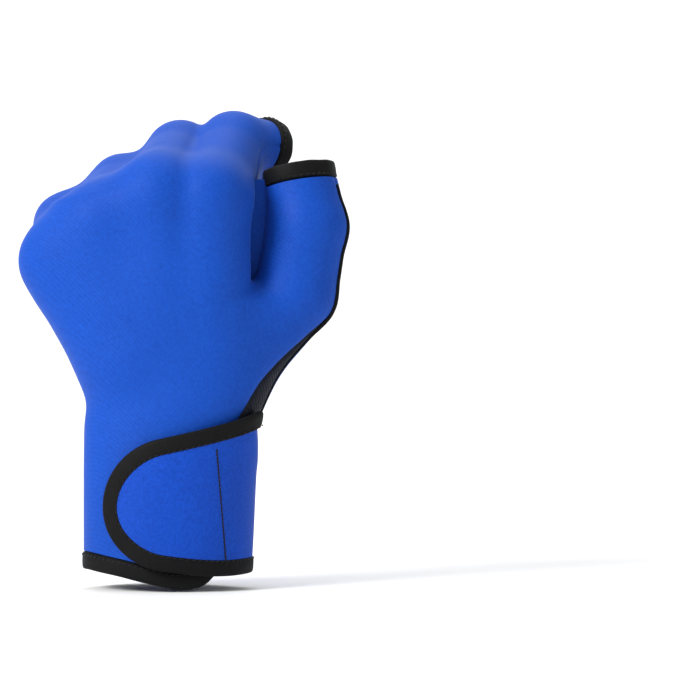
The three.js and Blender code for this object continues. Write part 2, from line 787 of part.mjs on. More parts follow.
// The two seam cuts, each with half of the gap on either side
const seamLow = handLow.map((value) => value - margin * 2);
const seamHigh = handHigh.map((value) => value + margin * 2);
const seamLines = [0, 1, 2].map((axis) => gridLine(seamLow[axis], seamHigh[axis], seamCell));
function palmward(field, inset) {
  const boxed = (p) => {
    const box = Math.max(...p.map((value, i) => Math.max(seamLow[i] + margin - value, value - seamHigh[i] + margin)));
    return Math.max(-field(p), box);
  };
  return skinOf(boxed, seamLines, seamCell, -inset);
}
const half = seamGap / 2;
const gussetTop = gussetHeight * 0.94;
const gussetRoom = new THREE.BoxGeometry(palmBreadth, wristDepth * 2, gussetTop * 2);
gussetRoom.translate(palmBreadth / 2 + margin, 0, 0);
const beside = shell.intersect(placedSolid(gussetRoom, [0, 0, 0], new THREE.Vector3(0, 1, 0)));
const wideOfSeam = palmward(seamDistance, -half);
const pieces = {
  dorsal_panel: shell.subtract(palmward(backEdgeDistance, -half)).subtract(wideOfSeam),
  palm_panel: shell.intersect(palmward(seamDistance, half)),
  side_gusset: beside.intersect(palmward(backEdgeDistance, half)).subtract(wideOfSeam),
};

// The bindings of the openings
pieces.cuff_binding = wristBand(hemAt, (turn) => hemAt(turn) + bindingWidth, -wall - bindingTuck, bindingProud, 0.5);
for (const stall of stalls) {
  pieces[`${stall.name}_binding`] = openingRing(
    stall.end.at,
    stall.faces,
    bindingWidth,
    stall.end.radius - wall - bindingTuck,
    stall.end.radius + bindingProud,
    0.6
  );
}
pieces.thumb_binding = openingRing(
  thumbEnd.at,
  thumbFaces,
  bindingWidth,
  thumbEnd.radius - wall - bindingTuck,
  thumbEnd.radius + bindingProud,
  0.6
);

// The tab and the binding round its edge
const tabRows = [0, 0.12, 0.24, 0.36, 0.48, 0.6, 0.7, 0.78, 0.84, 0.89, 0.93, 0.96, 0.985, 1];
const tabFull = tabSheet(0, tabRest, tabRest + tabThickness, 0, tabRows);
const tabInner = tabSheet(bindingWidth, tabRest + 0.2, tabRest + tabThickness - 0.3, 0, tabRows);
const tabRoom = tabSheet(bindingWidth - seamGap, tabRest - 2, tabRest + tabThickness + 2, 12, tabRows);

// The root's upper corner is sewn in along a slant, clear of the ball of the thumb
const rootTrim = new THREE.BoxGeometry(wristBreadth, wristDepth, tabRootHeight * 2);
rootTrim.translate(0, wristDepth / 2, 0);
const slant = new THREE.Vector3(0, Math.cos(radians(tabRootLean)), Math.sin(radians(tabRootLean)));
const pastRoot = placedSolid(rootTrim, [wristBreadth / 2, wristDepth * 0.1, tabRootFold], slant);
pieces.wrist_strap = tabInner.subtract(pastRoot);
pieces.strap_binding = tabFull.subtract(tabRoom).subtract(pastRoot);

// Meshes
const finishes = {
  dorsal_panel: blue,
  palm_panel: blue,
  wrist_strap: blue,
};

const glove = new THREE.Group();
for (const [name, solid] of Object.entries(pieces)) {
  const mesh = solid.getMesh();
  const { points, triangles } = joinCorners(mesh.vertProperties, mesh.triVerts, cornerGrid);
  const geometry = new THREE.BufferGeometry();
  geometry.setAttribute("position", new THREE.Float32BufferAttribute(points, 3));
  geometry.setIndex(triangles);
  geometry.computeVertexNormals();
  const piece = new THREE.Mesh(geometry, new THREE.MeshStandardMaterial(finishes[name] ?? black));
  piece.name = name;
  glove.add(piece);
}

export default glove;
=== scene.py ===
"""The looks of a webbed swim glove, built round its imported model.

The glove's forms are worked out in millimetres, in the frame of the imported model: +Z runs up
the forearm to the knuckles, -Y is the back of the hand and +X is the thumb side. They become
metres when a mesh is made.
"""

from __future__ import annotations

import logging
import math
from dataclasses import dataclass, field
from enum import Enum
from typing import Callable, Sequence

import bpy
import numpy as np
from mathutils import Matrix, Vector

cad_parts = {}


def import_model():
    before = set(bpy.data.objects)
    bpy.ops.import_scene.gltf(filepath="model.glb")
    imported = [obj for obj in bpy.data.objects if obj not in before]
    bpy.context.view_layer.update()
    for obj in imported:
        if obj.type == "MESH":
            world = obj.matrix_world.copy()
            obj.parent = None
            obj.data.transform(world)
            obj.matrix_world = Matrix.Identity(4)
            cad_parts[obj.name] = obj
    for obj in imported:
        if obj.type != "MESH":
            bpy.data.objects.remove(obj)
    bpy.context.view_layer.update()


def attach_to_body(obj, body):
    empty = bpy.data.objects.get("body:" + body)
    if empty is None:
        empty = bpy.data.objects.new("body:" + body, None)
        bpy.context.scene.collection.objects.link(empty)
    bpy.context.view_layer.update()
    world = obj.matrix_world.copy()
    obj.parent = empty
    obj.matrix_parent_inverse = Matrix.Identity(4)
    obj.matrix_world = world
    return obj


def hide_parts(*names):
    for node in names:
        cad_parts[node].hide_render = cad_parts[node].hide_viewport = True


MM = 0.001
Points = np.ndarray
Field = Callable[[Points], np.ndarray]
log = logging.getLogger("swim_glove")


# ---------------------------------------------------------------- small sums


def unit(vectors: Points) -> Points:
    """Vectors of length one, for one vector or for rows of them."""
    return vectors / (np.linalg.norm(vectors, axis=-1, keepdims=True) + 1e-12)


def mix(a, b, t):
    """The value a share t of the way from a to b."""
    return a + (b - a) * t


def smooth_min(a: Points, b: Points, reach) -> Points:
    """The lesser of two distances, melted together where they are within reach.

    Args:
        a: Distances in millimetres.
        b: Distances in millimetres.
        reach: How widely the two forms melt together.

    Returns:
        The blended distances.
    """
    share = np.clip(0.5 + 0.5 * (b - a) / reach, 0, 1)
    return mix(b, a, share) - reach * share * (1 - share)


def smooth_step(x: Points, low: float, high: float) -> Points:
    """A soft step from nought at low to one at high."""
    t = np.clip((x - low) / (high - low), 0, 1)
    return t * t * (3 - 2 * t)


def read_table(rows: Sequence[Sequence[float]], at: Points) -> Points:
    """Reads a smooth curve through the rows of a table.

    Args:
        rows: Rows whose first column is the key and whose others are values.
        at: The keys to read at.

    Returns:
        One row of values for each key.
    """
    table = np.asarray(rows, float)
    keys, values = table[:, 0], table[:, 1:]
    last = len(keys) - 1
    i = np.clip(np.searchsorted(keys, at, side="left") - 1, 0, last - 1)
    before, after = np.maximum(i - 1, 0), np.minimum(i + 2, last)
    span = keys[i + 1] - keys[i]
    t = np.clip((at - keys[i]) / span, 0, 1)[:, None]
    leave = (values[i + 1] - values[before]) * (span / (keys[i + 1] - keys[before]))[:, None]
    arrive = (values[after] - values[i]) * (span / (keys[after] - keys[i]))[:, None]
    return (
        (2 * t**3 - 3 * t**2 + 1) * values[i]
        + (t**3 - 2 * t**2 + t) * leave
        + (3 * t**2 - 2 * t**3) * values[i + 1]
        + (t**3 - t**2) * arrive
    )


def gradient(form: Field, points: Points, step: float = 0.05) -> Points:
    """The slope of a field at each point, taken over two small steps a side."""
    slopes = [form(points + step * axis) - form(points - step * axis) for axis in np.eye(3)]
    return np.stack(slopes, -1) / (2 * step)


def settle(form: Field, points: Points, room: float, rounds: int = 2) -> Points:
    """Moves points onto a field's surface.

    Args:
        form: The field whose nought is the surface.
        points: Points near it.
        room: The furthest that one round moves a point.
        rounds: How many rounds of Newton's method to take.

    Returns:
        The moved points.
    """
    for _ in range(rounds):
        slope = gradient(form, points)
        step = (form(points) / ((slope**2).sum(1) + 1e-9))[:, None] * slope
        size = np.linalg.norm(step, axis=1, keepdims=True) + 1e-12
        points = points - step * np.minimum(1, room / size)
    return points


# ---------------------------------------------------------------- the form of the hand


@dataclass(frozen=True)
class Limb:
    """A round limb between two places, its radius changing evenly."""

    start: Points
    end: Points
    start_radius: float
    end_radius: float

    def distance(self, points: Points) -> Points:
        """Distance to the limb's skin, less than nought inside."""
        along = self.end - self.start
        offset = points - self.start
        t = np.clip(offset @ along / (along @ along), 0, 1)
        away = np.linalg.norm(offset - t[:, None] * along, axis=1)
        return away - mix(self.start_radius, self.end_radius, t)


@dataclass(frozen=True)
class Stall:
    """One finger's stall, by its places and the way that its opening faces."""

    name: str
    root: Points
    knuckle: Points
    joint: Points
    end: Points
    radii: tuple[float, float, float, float]
    faces: Points

    def limbs(self) -> tuple[Limb, Limb, Limb]:
        """The limbs from root to knuckle, knuckle to joint and joint to end."""
        places = (self.root, self.knuckle, self.joint, self.end)
        return tuple(Limb(places[i], places[i + 1], self.radii[i], self.radii[i + 1]) for i in range(3))

    def along(self, share: float) -> Points:
        """A place on the stall's line: 0 the knuckle, 1 the joint, 2 the end."""
        if share < 1:
            return mix(self.knuckle, self.joint, share)
        return mix(self.joint, self.end, share - 1)


@dataclass
class HandForm:
    """The outside of the gloved fist as a distance field, in millimetres."""

    knuckle_height: float = 130.0
    palm_breadth: float = 76.0
    palm_thickness: float = 33.0
    wrist_breadth: float = 54.6
    wrist_depth: float = 41.0
    fist_turn: float = 14.0
    stall_reach: float = 42.0
    stall_share: float = 0.158
    thumb_reach: float = 48.0
    thumb_girth: float = 28.4
    cuff_wave: float = 5.4
    gusset_width: float = 15.0
    gusset_height: float = 90.0
    binding_width: float = 6.0
    seam_gap: float = 0.3
    web_blends: tuple[float, float, float] = (3.2, 9.0, 13.0)
    palm_blend: float = 10.0
    root_blend: float = 10.0
    joint_blend: float = 3.0
    thumb_blend: float = 2.0
    crotch_blend: float = 16.0
    crotch_low: float = 92.0
    crotch_high: float = 106.0
    seam_blend: float = 3.5
    end_blend: float = 2.5
    end_reach: float = 16.0
    thumb_clear: float = 1.0
    # rise, shift, back, spread, flatten, turn, squareness
    sections: tuple = (
        (-0.108, -0.013, 0, 0, 0, 0.43, 2),
        (0, -0.012, 0, 0, 0, 0.43, 2),
        (0.231, -0.004, 0, 0.065, 0.125, 0.57, 2),
        (0.385, 0.005, 0, 0.121, 0.25, 0.71, 2.05),
        (0.477, 0.016, -0.015, 0.159, 0.375, 0.86, 2.15),
        (0.577, -0.024, -0.03, 0.308, 0.625, 1, 2.3),
        (0.654, -0.061, -0.045, 0.57, 0.825, 1, 2.4),
        (0.731, -0.1, -0.061, 0.832, 1, 1, 2.4),
        (0.808, -0.124, -0.061, 1, 1.25, 1, 2.4),
        (0.877, -0.118, -0.045, 0.813, 1.625, 1, 2.4),
        (0.954, -0.079, 0, 0.159, 2.125, 1, 2.4),
    )
    # turn in degrees from the thumb side, height as a share of cuff_wave
    hem_rows: tuple = (
        (-180, 0.46),
        (-150, 0.46),
        (-120, 0.15),
        (-95, -0.3),
        (-77, -0.62),
        (-62, -0.6),
        (-52, -0.28),
        (-45, 0.2),
        (-36, 0.5),
        (0, 0.58),
        (45, 0.2),
        (90, -0.1),
        (135, 0.2),
        (180, 0.46),
    )
    # name, (place and width) of root, knuckle, joint and end, and the way the opening faces
    finger_rows: tuple = (
        ("index", (0.145, -0.095, 0.615, 0.92), (0.195, -0.19, 0.99, 1.06), (0.315, 0.6, 1.145, 1.02),
         (0.48, 0.87, 1.135, 0.95), (0.64, 0.68, -0.3)),
        ("middle", (-0.013, -0.119, 0.6, 0.92), (-0.026, -0.167, 0.996, 1.125), (0.07, 0.69, 1.124, 1),
         (0.134, 0.974, 1.045, 0.92), (0.36, 0.74, -0.57)),
        ("ring", (-0.145, -0.071, 0.6, 0.92), (-0.27, -0.048, 0.931, 1.085), (-0.195, 0.738, 1.036, 0.97),
         (-0.138, 0.986, 0.969, 0.88), (0.36, 0.74, -0.57)),
        ("little", (-0.224, 0, 0.585, 0.88), (-0.454, 0.143, 0.846, 1.04), (-0.455, 0.714, 0.934, 0.94),
         (-0.412, 0.943, 0.874, 0.87), (0.36, 0.74, -0.57)),
    )
    thumb_rows: tuple = (
        (0.292, 0.048, 0.485, 1.056),
        (0.93, 0.071, 0.746, 1.007),
        (1.02, 0.071, 0.923, 1),
        (0.955, 0.13, 1.085, 0.86),
    )
    stalls: list = field(default_factory=list, init=False)
    thumb: list = field(default_factory=list, init=False)
    seam_limbs: list = field(default_factory=list, init=False)

    def __post_init__(self) -> None:
        """Turns the tables' shares into places in millimetres."""
        scales = np.array([self.palm_breadth, self.stall_reach, self.knuckle_height])
        radius = self.palm_breadth * self.stall_share
        for name, *rows, faces in self.finger_rows:
            places = [np.array(row[:3]) * scales for row in rows]
            radii = tuple(row[3] * radius for row in rows)
            self.stalls.append(Stall(name, *places, radii, unit(np.array(faces, float))))
        scales = np.array([self.thumb_reach, self.stall_reach, self.knuckle_height])
        places = [np.array(row[:3]) * scales for row in self.thumb_rows]
        radii = [row[3] * self.thumb_girth / 2 for row in self.thumb_rows]
        self.thumb = [Limb(places[i], places[i + 1], radii[i], radii[i + 1]) for i in range(3)]
        self.seam_limbs = self._seam_limbs()

    @property
    def bound(self) -> float:
        """How far the panels end short of an opening."""
        return self.binding_width + self.seam_gap

    @property
    def thumb_faces(self) -> Points:
        """The way that the thumb's opening faces."""
        return unit(self.thumb[-1].end - self.thumb[-1].start)

    def _seam_limbs(self) -> list[tuple[Limb, Points, float]]:
        """Each limb that the seam follows, its mid plane's normal and the seam's shift from it."""
        found = []
        last = len(self.stalls) - 1
        for i, stall in enumerate(self.stalls):
            row = self.stalls[max(i - 1, 0)].joint - self.stalls[min(i + 1, last)].joint
            for limb in stall.limbs()[1:]:
                found.append((limb, unit(np.cross(limb.end - limb.start, row)), -2.5))
        towards_palm = np.array([0.2, 1, 0])
        for limb in self.thumb:
            axis = unit(limb.end - limb.start)
            found.append((limb, unit(towards_palm - axis * (towards_palm @ axis)), 2.5))
        return found

    def section(self, z: Points) -> tuple[Points, ...]:
        """The arm's or palm's section at each height: middle, half sizes, turn and squareness."""
        shift, back, spread, flatten, turn, squareness = read_table(self.sections, z / self.knuckle_height).T
        return (
            shift * self.palm_breadth,
            back * self.palm_thickness,
            mix(self.wrist_breadth, self.palm_breadth, spread) / 2,
            mix(self.wrist_depth, self.palm_thickness, flatten) / 2,
            np.radians(turn * self.fist_turn),
            squareness,
        )

    def in_section(self, points: Points) -> tuple[Points, Points]:
        """Where points lie in their sections: across to the thumb and through to the palm."""
        x, y, _, _, turn, _ = self.section(points[:, 2])
        dx, dy = points[:, 0] - x, points[:, 1] - y
        return dx * np.cos(turn) - dy * np.sin(turn), dx * np.sin(turn) + dy * np.cos(turn)

    def palm(self, points: Points) -> Points:
        """Distance to the arm and palm."""
        _, _, half_width, half_depth, _, power = self.section(points[:, 2])
        across, through = self.in_section(points)
        u, v = np.abs(across) / half_width, np.abs(through) / half_depth
        k = np.maximum((u**power + v**power) ** (1 / power), 1e-6)
        slope = np.hypot((u / k) ** (power - 1) / half_width, (v / k) ** (power - 1) / half_depth)
        top = points[:, 2] - self.sections[-1][0] * self.knuckle_height
        return np.maximum((k - 1) / (slope + 1e-6), top)

    def finger(self, points: Points, stall: Stall) -> Points:
        """Distance to one finger and its root in the palm."""
        root, bone, tip = (limb.distance(points) for limb in stall.limbs())
        return smooth_min(smooth_min(bone, tip, self.joint_blend), root, self.root_blend)

    def thumb_distance(self, points: Points) -> Points:
        """Distance to the thumb."""
        found = self.thumb[0].distance(points)
        for limb in self.thumb[1:]:
            found = smooth_min(found, limb.distance(points), self.thumb_blend)
        return found

    def skin(self, points: Points) -> Points:
        """Distance to the outside of the whole gloved hand."""
        found = self.finger(points, self.stalls[0])
        for stall, blend in zip(self.stalls[1:], self.web_blends):
            found = smooth_min(found, self.finger(points, stall), blend)
        found = smooth_min(self.palm(points), found, self.palm_blend)
        apart = smooth_step(points[:, 2], self.crotch_low, self.crotch_high)
        return smooth_min(found, self.thumb_distance(points), mix(self.crotch_blend, 0.5, apart))

    def seam(self, points: Points) -> Points:
        """The seam round the hand: less than nought towards the back, more towards the palm."""
        across, through = self.in_section(points)
        web = smooth_step(points[:, 2] / self.knuckle_height, 0.6, 0.78)
        sides = [through - 1 - web * 0.42 * np.maximum(across, 0)]
        aways = [self.palm(points)]
        for limb, normal, shift in self.seam_limbs:
            aways.append(limb.distance(points))
            sides.append((points - limb.start) @ normal + shift)
        return self._blended(np.array(aways), np.array(sides), self.seam_blend)

    @staticmethod
    def _blended(aways: Points, sides: Points, blend: float) -> Points:
        """The sides' mean, in which the nearest limb counts most."""
        weights = np.exp((aways.min(0) - aways) / blend)
        return (weights * sides).sum(0) / weights.sum(0)

    def back_edge(self, points: Points) -> Points:
        """The back panel's edge, which leaves the seam where the gusset lies beside it."""
        opened = np.clip((self.gusset_height - points[:, 2]) / (self.gusset_height * 0.5), 0, 1)
        thumb_side = np.clip(points[:, 0] / (self.wrist_breadth / 4), 0, 1)
        return self.seam(points) + self.gusset_width * opened * thumb_side

    def past_fingers(self, points: Points) -> Points:
        """More than nought where a finger's binding takes the panels' place."""
        aways = np.array([stall.limbs()[2].distance(points) for stall in self.stalls])
        sides = np.array([(points - stall.end) @ stall.faces for stall in self.stalls])
        near = np.min([self._beyond(points, stall.end, stall.faces) for stall in self.stalls], axis=0)
        return np.minimum(self._blended(aways, sides, self.end_blend) + self.bound, -near)

    def _beyond(self, points: Points, end: Points, faces: Points) -> Points:
        """Distance to the room in front of an opening."""
        reach = self.end_reach
        return Limb(end, end + faces * reach, reach, reach).distance(points)

    def past_thumb(self, points: Points) -> Points:
        """More than nought where the thumb's binding takes the panels' place."""
        end, radius = self.thumb[-1].end, self.thumb[-1].end_radius + self.thumb_clear
        side = (points - end) @ self.thumb_faces + self.bound
        ring = Limb(end - self.thumb_faces * self.bound, end, radius, radius)
        return np.minimum(side, -ring.distance(points))

    def hem(self, turn: Points) -> Points:
        """The height of the cuff's hem at turns round the wrist, in degrees."""
        return read_table(self.hem_rows, turn)[:, 0] * self.cuff_wave

    def below_cuff(self, points: Points) -> Points:
        """More than nought where the cuff's binding takes the panels' place."""
        across, through = self.in_section(points)
        _, _, half_width, half_depth, _, _ = self.section(points[:, 2])
        turn = np.degrees(np.arctan2(through / half_depth, across / half_width))
        return self.hem(turn) + self.bound - points[:, 2]

    def wrist_point(self, turn: Points, z: Points, offset: Points) -> Points:
        """Points round the wrist, by turn in degrees, height and offset from the skin."""
        x, y, half_width, half_depth, twist, power = self.section(z)
        c, s = np.cos(np.radians(turn)), np.sin(np.radians(turn))
        u = half_width * np.sign(c) * np.abs(c) ** (2 / power)
        v = half_depth * np.sign(s) * np.abs(s) ** (2 / power)
        normal = unit(np.stack([c / half_width, s / half_depth], -1))
        across, through = u + normal[:, 0] * offset, v + normal[:, 1] * offset
        return np.stack(
            [
                x + across * np.cos(twist) + through * np.sin(twist),
                y - across * np.sin(twist) + through * np.cos(twist),
                z,
            ],
            -1,
        )

    def over_skin(self, turn: Points, z: Points, offset: Points) -> Points:
        """The same, moved out until each point stands its offset clear of the whole hand."""
        out = np.array(offset, float)
        for _ in range(5):
            out = out + offset - self.skin(self.wrist_point(turn, z, out))
        return self.wrist_point(turn, z, np.maximum(out, offset))


# ---------------------------------------------------------------- meshes


@dataclass
class Surface:
    """A mesh of triangles in millimetres, open or closed."""

    points: Points
    faces: Points

    @classmethod
    def of_form(cls, form: Field, low: Sequence[float], high: Sequence[float], cell: float) -> "Surface":
        """Meshes the surface of a field with one point in each cell that it crosses.

        Args:
            form: The field, less than nought inside.
            low: Lowest corner of the grid.
            high: Highest corner of the grid.
            cell: Size of a cell.

        Returns:
            The surface, its faces turned outwards.
        """
        axes = [np.arange(a, b + cell, cell) for a, b in zip(low, high)]
        shape = tuple(len(axis) for axis in axes)
        grid = np.stack(np.meshgrid(*axes, indexing="ij"), -1).reshape(-1, 3)
        values = np.concatenate([form(part) for part in np.array_split(grid, 12)]).reshape(shape)
        grid = grid.reshape(*shape, 3)
        cells = tuple(n - 1 for n in shape)
        total = np.zeros((cells[0] * cells[1] * cells[2], 3))
        count = np.zeros(len(total))
        quads = []
        for axis in range(3):
            u, v = (axis + 1) % 3, (axis + 2) % 3
            low_end = [slice(None)] * 3
            high_end = [slice(None)] * 3
            low_end[axis], high_end[axis] = slice(0, -1), slice(1, None)
            before, after = values[tuple(low_end)], values[tuple(high_end)]
            edge = np.argwhere((before < 0) != (after < 0))
            a, b = before[tuple(edge.T)], after[tuple(edge.T)]
            place = grid[tuple(edge.T)].copy()
            place[:, axis] += cell * a / (a - b)
            corners, whole = [], np.ones(len(edge), bool)
            for du, dv in ((-1, -1), (0, -1), (0, 0), (-1, 0)):
                owner = edge.copy()
                owner[:, u] += du
                owner[:, v] += dv
                fits = ((owner >= 0) & (owner < cells)).all(1)
                number = np.ravel_multi_index(tuple(np.clip(owner, 0, np.array(cells) - 1).T), cells)
                for k in range(3):
                    total[:, k] += np.bincount(number[fits], place[fits, k], len(total))
                count += np.bincount(number[fits], minlength=len(total))
                whole &= fits
                corners.append(number)
            quad = np.stack(corners, -1)
            quad = np.where((a < 0)[:, None], quad, quad[:, ::-1])
            quads.append(quad[whole])
        used = count > 0
        number = np.cumsum(used) - 1
        points = total[used] / count[used, None]
        quads = number[np.concatenate(quads)]
        surface = cls(points, cls._split(points, quads))
        surface.points = settle(form, surface.points, cell)
        return surface

    @staticmethod
    def _split(points: Points, quads: Points) -> Points:
        """Each quad as two triangles, along its shorter diagonal."""
        p, q, r, s = (points[quads[:, k]] for k in range(4))
        short = np.linalg.norm(p - r, axis=1) < np.linalg.norm(q - s, axis=1)
        first = np.where(short[:, None], quads[:, [0, 1, 2]], quads[:, [1, 2, 3]])
        second = np.where(short[:, None], quads[:, [0, 2, 3]], quads[:, [1, 3, 0]])
        return np.concatenate([first, second])

    def relax(self, form: Field, rounds: int, room: float) -> None:
        """Evens out the triangles, keeping the points on the field's surface.

        Args:
            form: The field that the points lie on.
            rounds: How many times each point moves towards its neighbours' middle.
            room: The furthest that settling moves a point.
        """
        pairs = np.concatenate([self.faces[:, [0, 1]], self.faces[:, [1, 2]], self.faces[:, [2, 0]]])
        pairs = np.concatenate([pairs, pairs[:, ::-1]])
        n = len(self.points)
        count = np.maximum(np.bincount(pairs[:, 0], minlength=n), 1)[:, None]
        for _ in range(rounds):
            columns = [np.bincount(pairs[:, 0], self.points[pairs[:, 1], k], n) for k in range(3)]
            middle = np.stack(columns, -1) / count
            self.points = settle(form, mix(self.points, middle, 0.6), room, 1)

    def onto(self, points: Points, side: Field, form: Field | None) -> Points:
        """Moves points along the surface to where a side field is nought."""
        for _ in range(3):
            slope = gradient(side, points)
            if form is not None:
                normal = unit(gradient(form, points))
                slope = slope - normal * (slope * normal).sum(1, keepdims=True)
            size2 = (slope**2).sum(1) + 1e-3
            points = points - np.clip(side(points) / size2, -1, 1)[:, None] * slope
            if form is not None:
                points = settle(form, points, 1, 1)
        return points

    def cut(self, side: Field, form: Field | None = None, snap: float = 0.3) -> "Surface":
        """Keeps the part where a side field is less than nought.

        Args:
            side: The field that says which part is kept.
            form: The field of the surface itself, which new points are put back on.
            snap: Points this near the cut are moved onto it.

        Returns:
            The kept part, with a clean edge.
        """
        points = self.points.copy()
        value = side(points)
        near = np.abs(value) < snap
        if near.any():
            points[near] = self.onto(points[near], side, form)
            value[near] = 0
        sign = np.sign(value).astype(int)
        signs = sign[self.faces]
        kept = [self.faces[(signs.max(1) <= 0) & (signs.min(1) < 0)]]
        flat = self.faces[(signs == 0).all(1)]
        if len(flat):
            kept.append(flat[side(points[flat].mean(1)) < 0])
        crossing = self.faces[(signs.max(1) > 0) & (signs.min(1) < 0)]
        edges: dict[tuple[int, int], int] = {}
        fresh = []
        for face in crossing.tolist():
            corners = []
            for a, b in zip(face, face[1:] + face[:1]):
                if sign[a] <= 0:
                    corners.append(a)
                if sign[a] * sign[b] < 0:
                    key = (min(a, b), max(a, b))
                    corners.append(edges.setdefault(key, len(points) + len(edges)))
            fresh.extend([corners[0], corners[i], corners[i + 1]] for i in range(1, len(corners) - 1))
        if edges:
            pair = np.array(list(edges))
            a, b = value[pair[:, 0]], value[pair[:, 1]]
            place = mix(points[pair[:, 0]], points[pair[:, 1]], (a / (a - b))[:, None])
            points = np.concatenate([points, self.onto(place, side, form)])
            kept.append(np.array(fresh))
        return Surface(points, np.concatenate(kept)).tidy()

    def tidy(self) -> "Surface":
        """The same without points that no face uses."""
        used = np.zeros(len(self.points), bool)
        used[self.faces] = True
        return Surface(self.points[used], (np.cumsum(used) - 1)[self.faces])

    def mesh(self, name: str) -> bpy.types.Mesh:
        """A Blender mesh in metres."""
        mesh = bpy.data.meshes.new(name)
        mesh.from_pydata((self.points * MM).tolist(), [], self.faces.tolist())
        mesh.validate()
        return mesh


def grid_surface(points: Points, closed: bool, capped: bool = False) -> Surface:
    """Joins stations of points with faces.

    Args:
        points: Stations by points round or across each, by three.
        closed: Whether the last station joins the first.
        capped: Whether open ends are closed, for stations that run round a profile.

    Returns:
        The surface. Stations that run round a profile are closed round it where it is capped
        or closed.
    """
    stations, count = points.shape[:2]
    number = np.arange(stations * count).reshape(stations, count)
    following = np.roll(number, -1, axis=0)
    around = np.roll(number, -1, axis=1)
    corner = np.roll(following, -1, axis=1)
    rows = slice(None) if closed else slice(0, -1)
    columns = slice(None) if (closed or capped) else slice(0, -1)
    a, b, c, d = (part[rows, columns].reshape(-1) for part in (number, around, corner, following))
    faces = [np.stack([a, c, b], -1), np.stack([a, d, c], -1)]
    if capped:
        fan = np.arange(1, count - 1)
        zero = np.zeros_like(fan)
        faces.append(np.stack([zero, fan, fan + 1], -1))
        end = number[-1, 0]
        faces.append(np.stack([zero + end, end + fan + 1, end + fan], -1))
    return Surface(points.reshape(-1, 3), np.concatenate(faces))


def volume_of(surface: Surface) -> float:
    """The volume inside a closed surface, less than nought where it is inside out."""
    a, b, c = (surface.points[surface.faces[:, k]] for k in range(3))
    return float((a * np.cross(b, c)).sum() / 6)


def facing_out(surface: Surface) -> Surface:
    """A closed surface with its faces turned outwards."""
    if volume_of(surface) < 0:
        surface.faces = surface.faces[:, ::-1]
    return surface


def new_object(name: str, mesh: bpy.types.Mesh, material: bpy.types.Material) -> bpy.types.Object:
    """An object at the origin that shows a mesh in one material."""
    mesh.materials.clear()
    mesh.materials.append(material)
    mesh.shade_smooth()
    mesh.set_sharp_from_angle(angle=math.radians(48))
    piece = bpy.data.objects.new(name, mesh)
    bpy.context.scene.collection.objects.link(piece)
    return piece


def plain(piece: bpy.types.Object) -> bpy.types.Object:
    """Turns an object's modifiers into its plain mesh."""
    bpy.context.view_layer.update()
    found = piece.evaluated_get(bpy.context.evaluated_depsgraph_get())
    mesh = bpy.data.meshes.new_from_object(found)
    mesh.name = piece.name
    piece.modifiers.clear()
    piece.data = mesh
    return piece


def thickened(piece: bpy.types.Object, thickness: float, offset: float) -> bpy.types.Object:
    """Gives a sheet its thickness.

    Args:
        piece: The sheet, its faces turned outwards.
        thickness: In millimetres.
        offset: -1 to grow inwards, 0 to grow both ways.

    Returns:
        The same object, as a plain mesh.
    """
    wall = piece.modifiers.new("wall", "SOLIDIFY")
    wall.thickness = thickness * MM
    wall.offset = offset
    wall.use_even_offset = False
    wall.use_quality_normals = True
    plain(piece)
    piece.data.set_sharp_from_angle(angle=math.radians(48))
    return piece


# ---------------------------------------------------------------- shader groups


class Nodes:
    """A short way to place and join nodes in one tree."""

    def __init__(self, tree: bpy.types.NodeTree) -> None:
        """Keeps the tree that nodes are placed in."""
        self.tree = tree

    def add(self, kind: str, inputs: dict | None = None, **settings) -> bpy.types.Node:
        """Places a node, sets its properties and fills or links its inputs.

        Args:
            kind: The node's type.
            inputs: Values or sockets by input name or number.
            **settings: The node's own properties.

        Returns:
            The node.
        """
        node = self.tree.nodes.new(kind)
        for name, value in settings.items():
            setattr(node, name, value)
        for key, value in (inputs or {}).items():
            if isinstance(value, bpy.types.NodeSocket):
                self.tree.links.new(value, node.inputs[key])
            else:
                node.inputs[key].default_value = value
        return node

    def sum(self, operation: str, *values) -> bpy.types.NodeSocket:
        """A Math node's result for values or sockets."""
        inputs = dict(enumerate(values))
        return self.add("ShaderNodeMath", inputs, operation=operation).outputs[0]


def node_group(name: str, inputs: dict, outputs: dict) -> tuple[Nodes, bpy.types.Node, bpy.types.Node]:
    """Starts a shader group with named sockets.

    Args:
        name: The group's name.
        inputs: For each input, its socket type and first value, or None.
        outputs: For each output, its socket type.

    Returns:
        Its nodes, its input node and its output node.
    """
    tree = bpy.data.node_groups.new(name, "ShaderNodeTree")
    for socket, (kind, value) in inputs.items():
        made = tree.interface.new_socket(socket, in_out="INPUT", socket_type=kind)
        if value is not None:
            made.default_value = value
    for socket, kind in outputs.items():
        tree.interface.new_socket(socket, in_out="OUTPUT", socket_type=kind)
    nodes = Nodes(tree)
    return nodes, nodes.add("NodeGroupInput"), nodes.add("NodeGroupOutput")


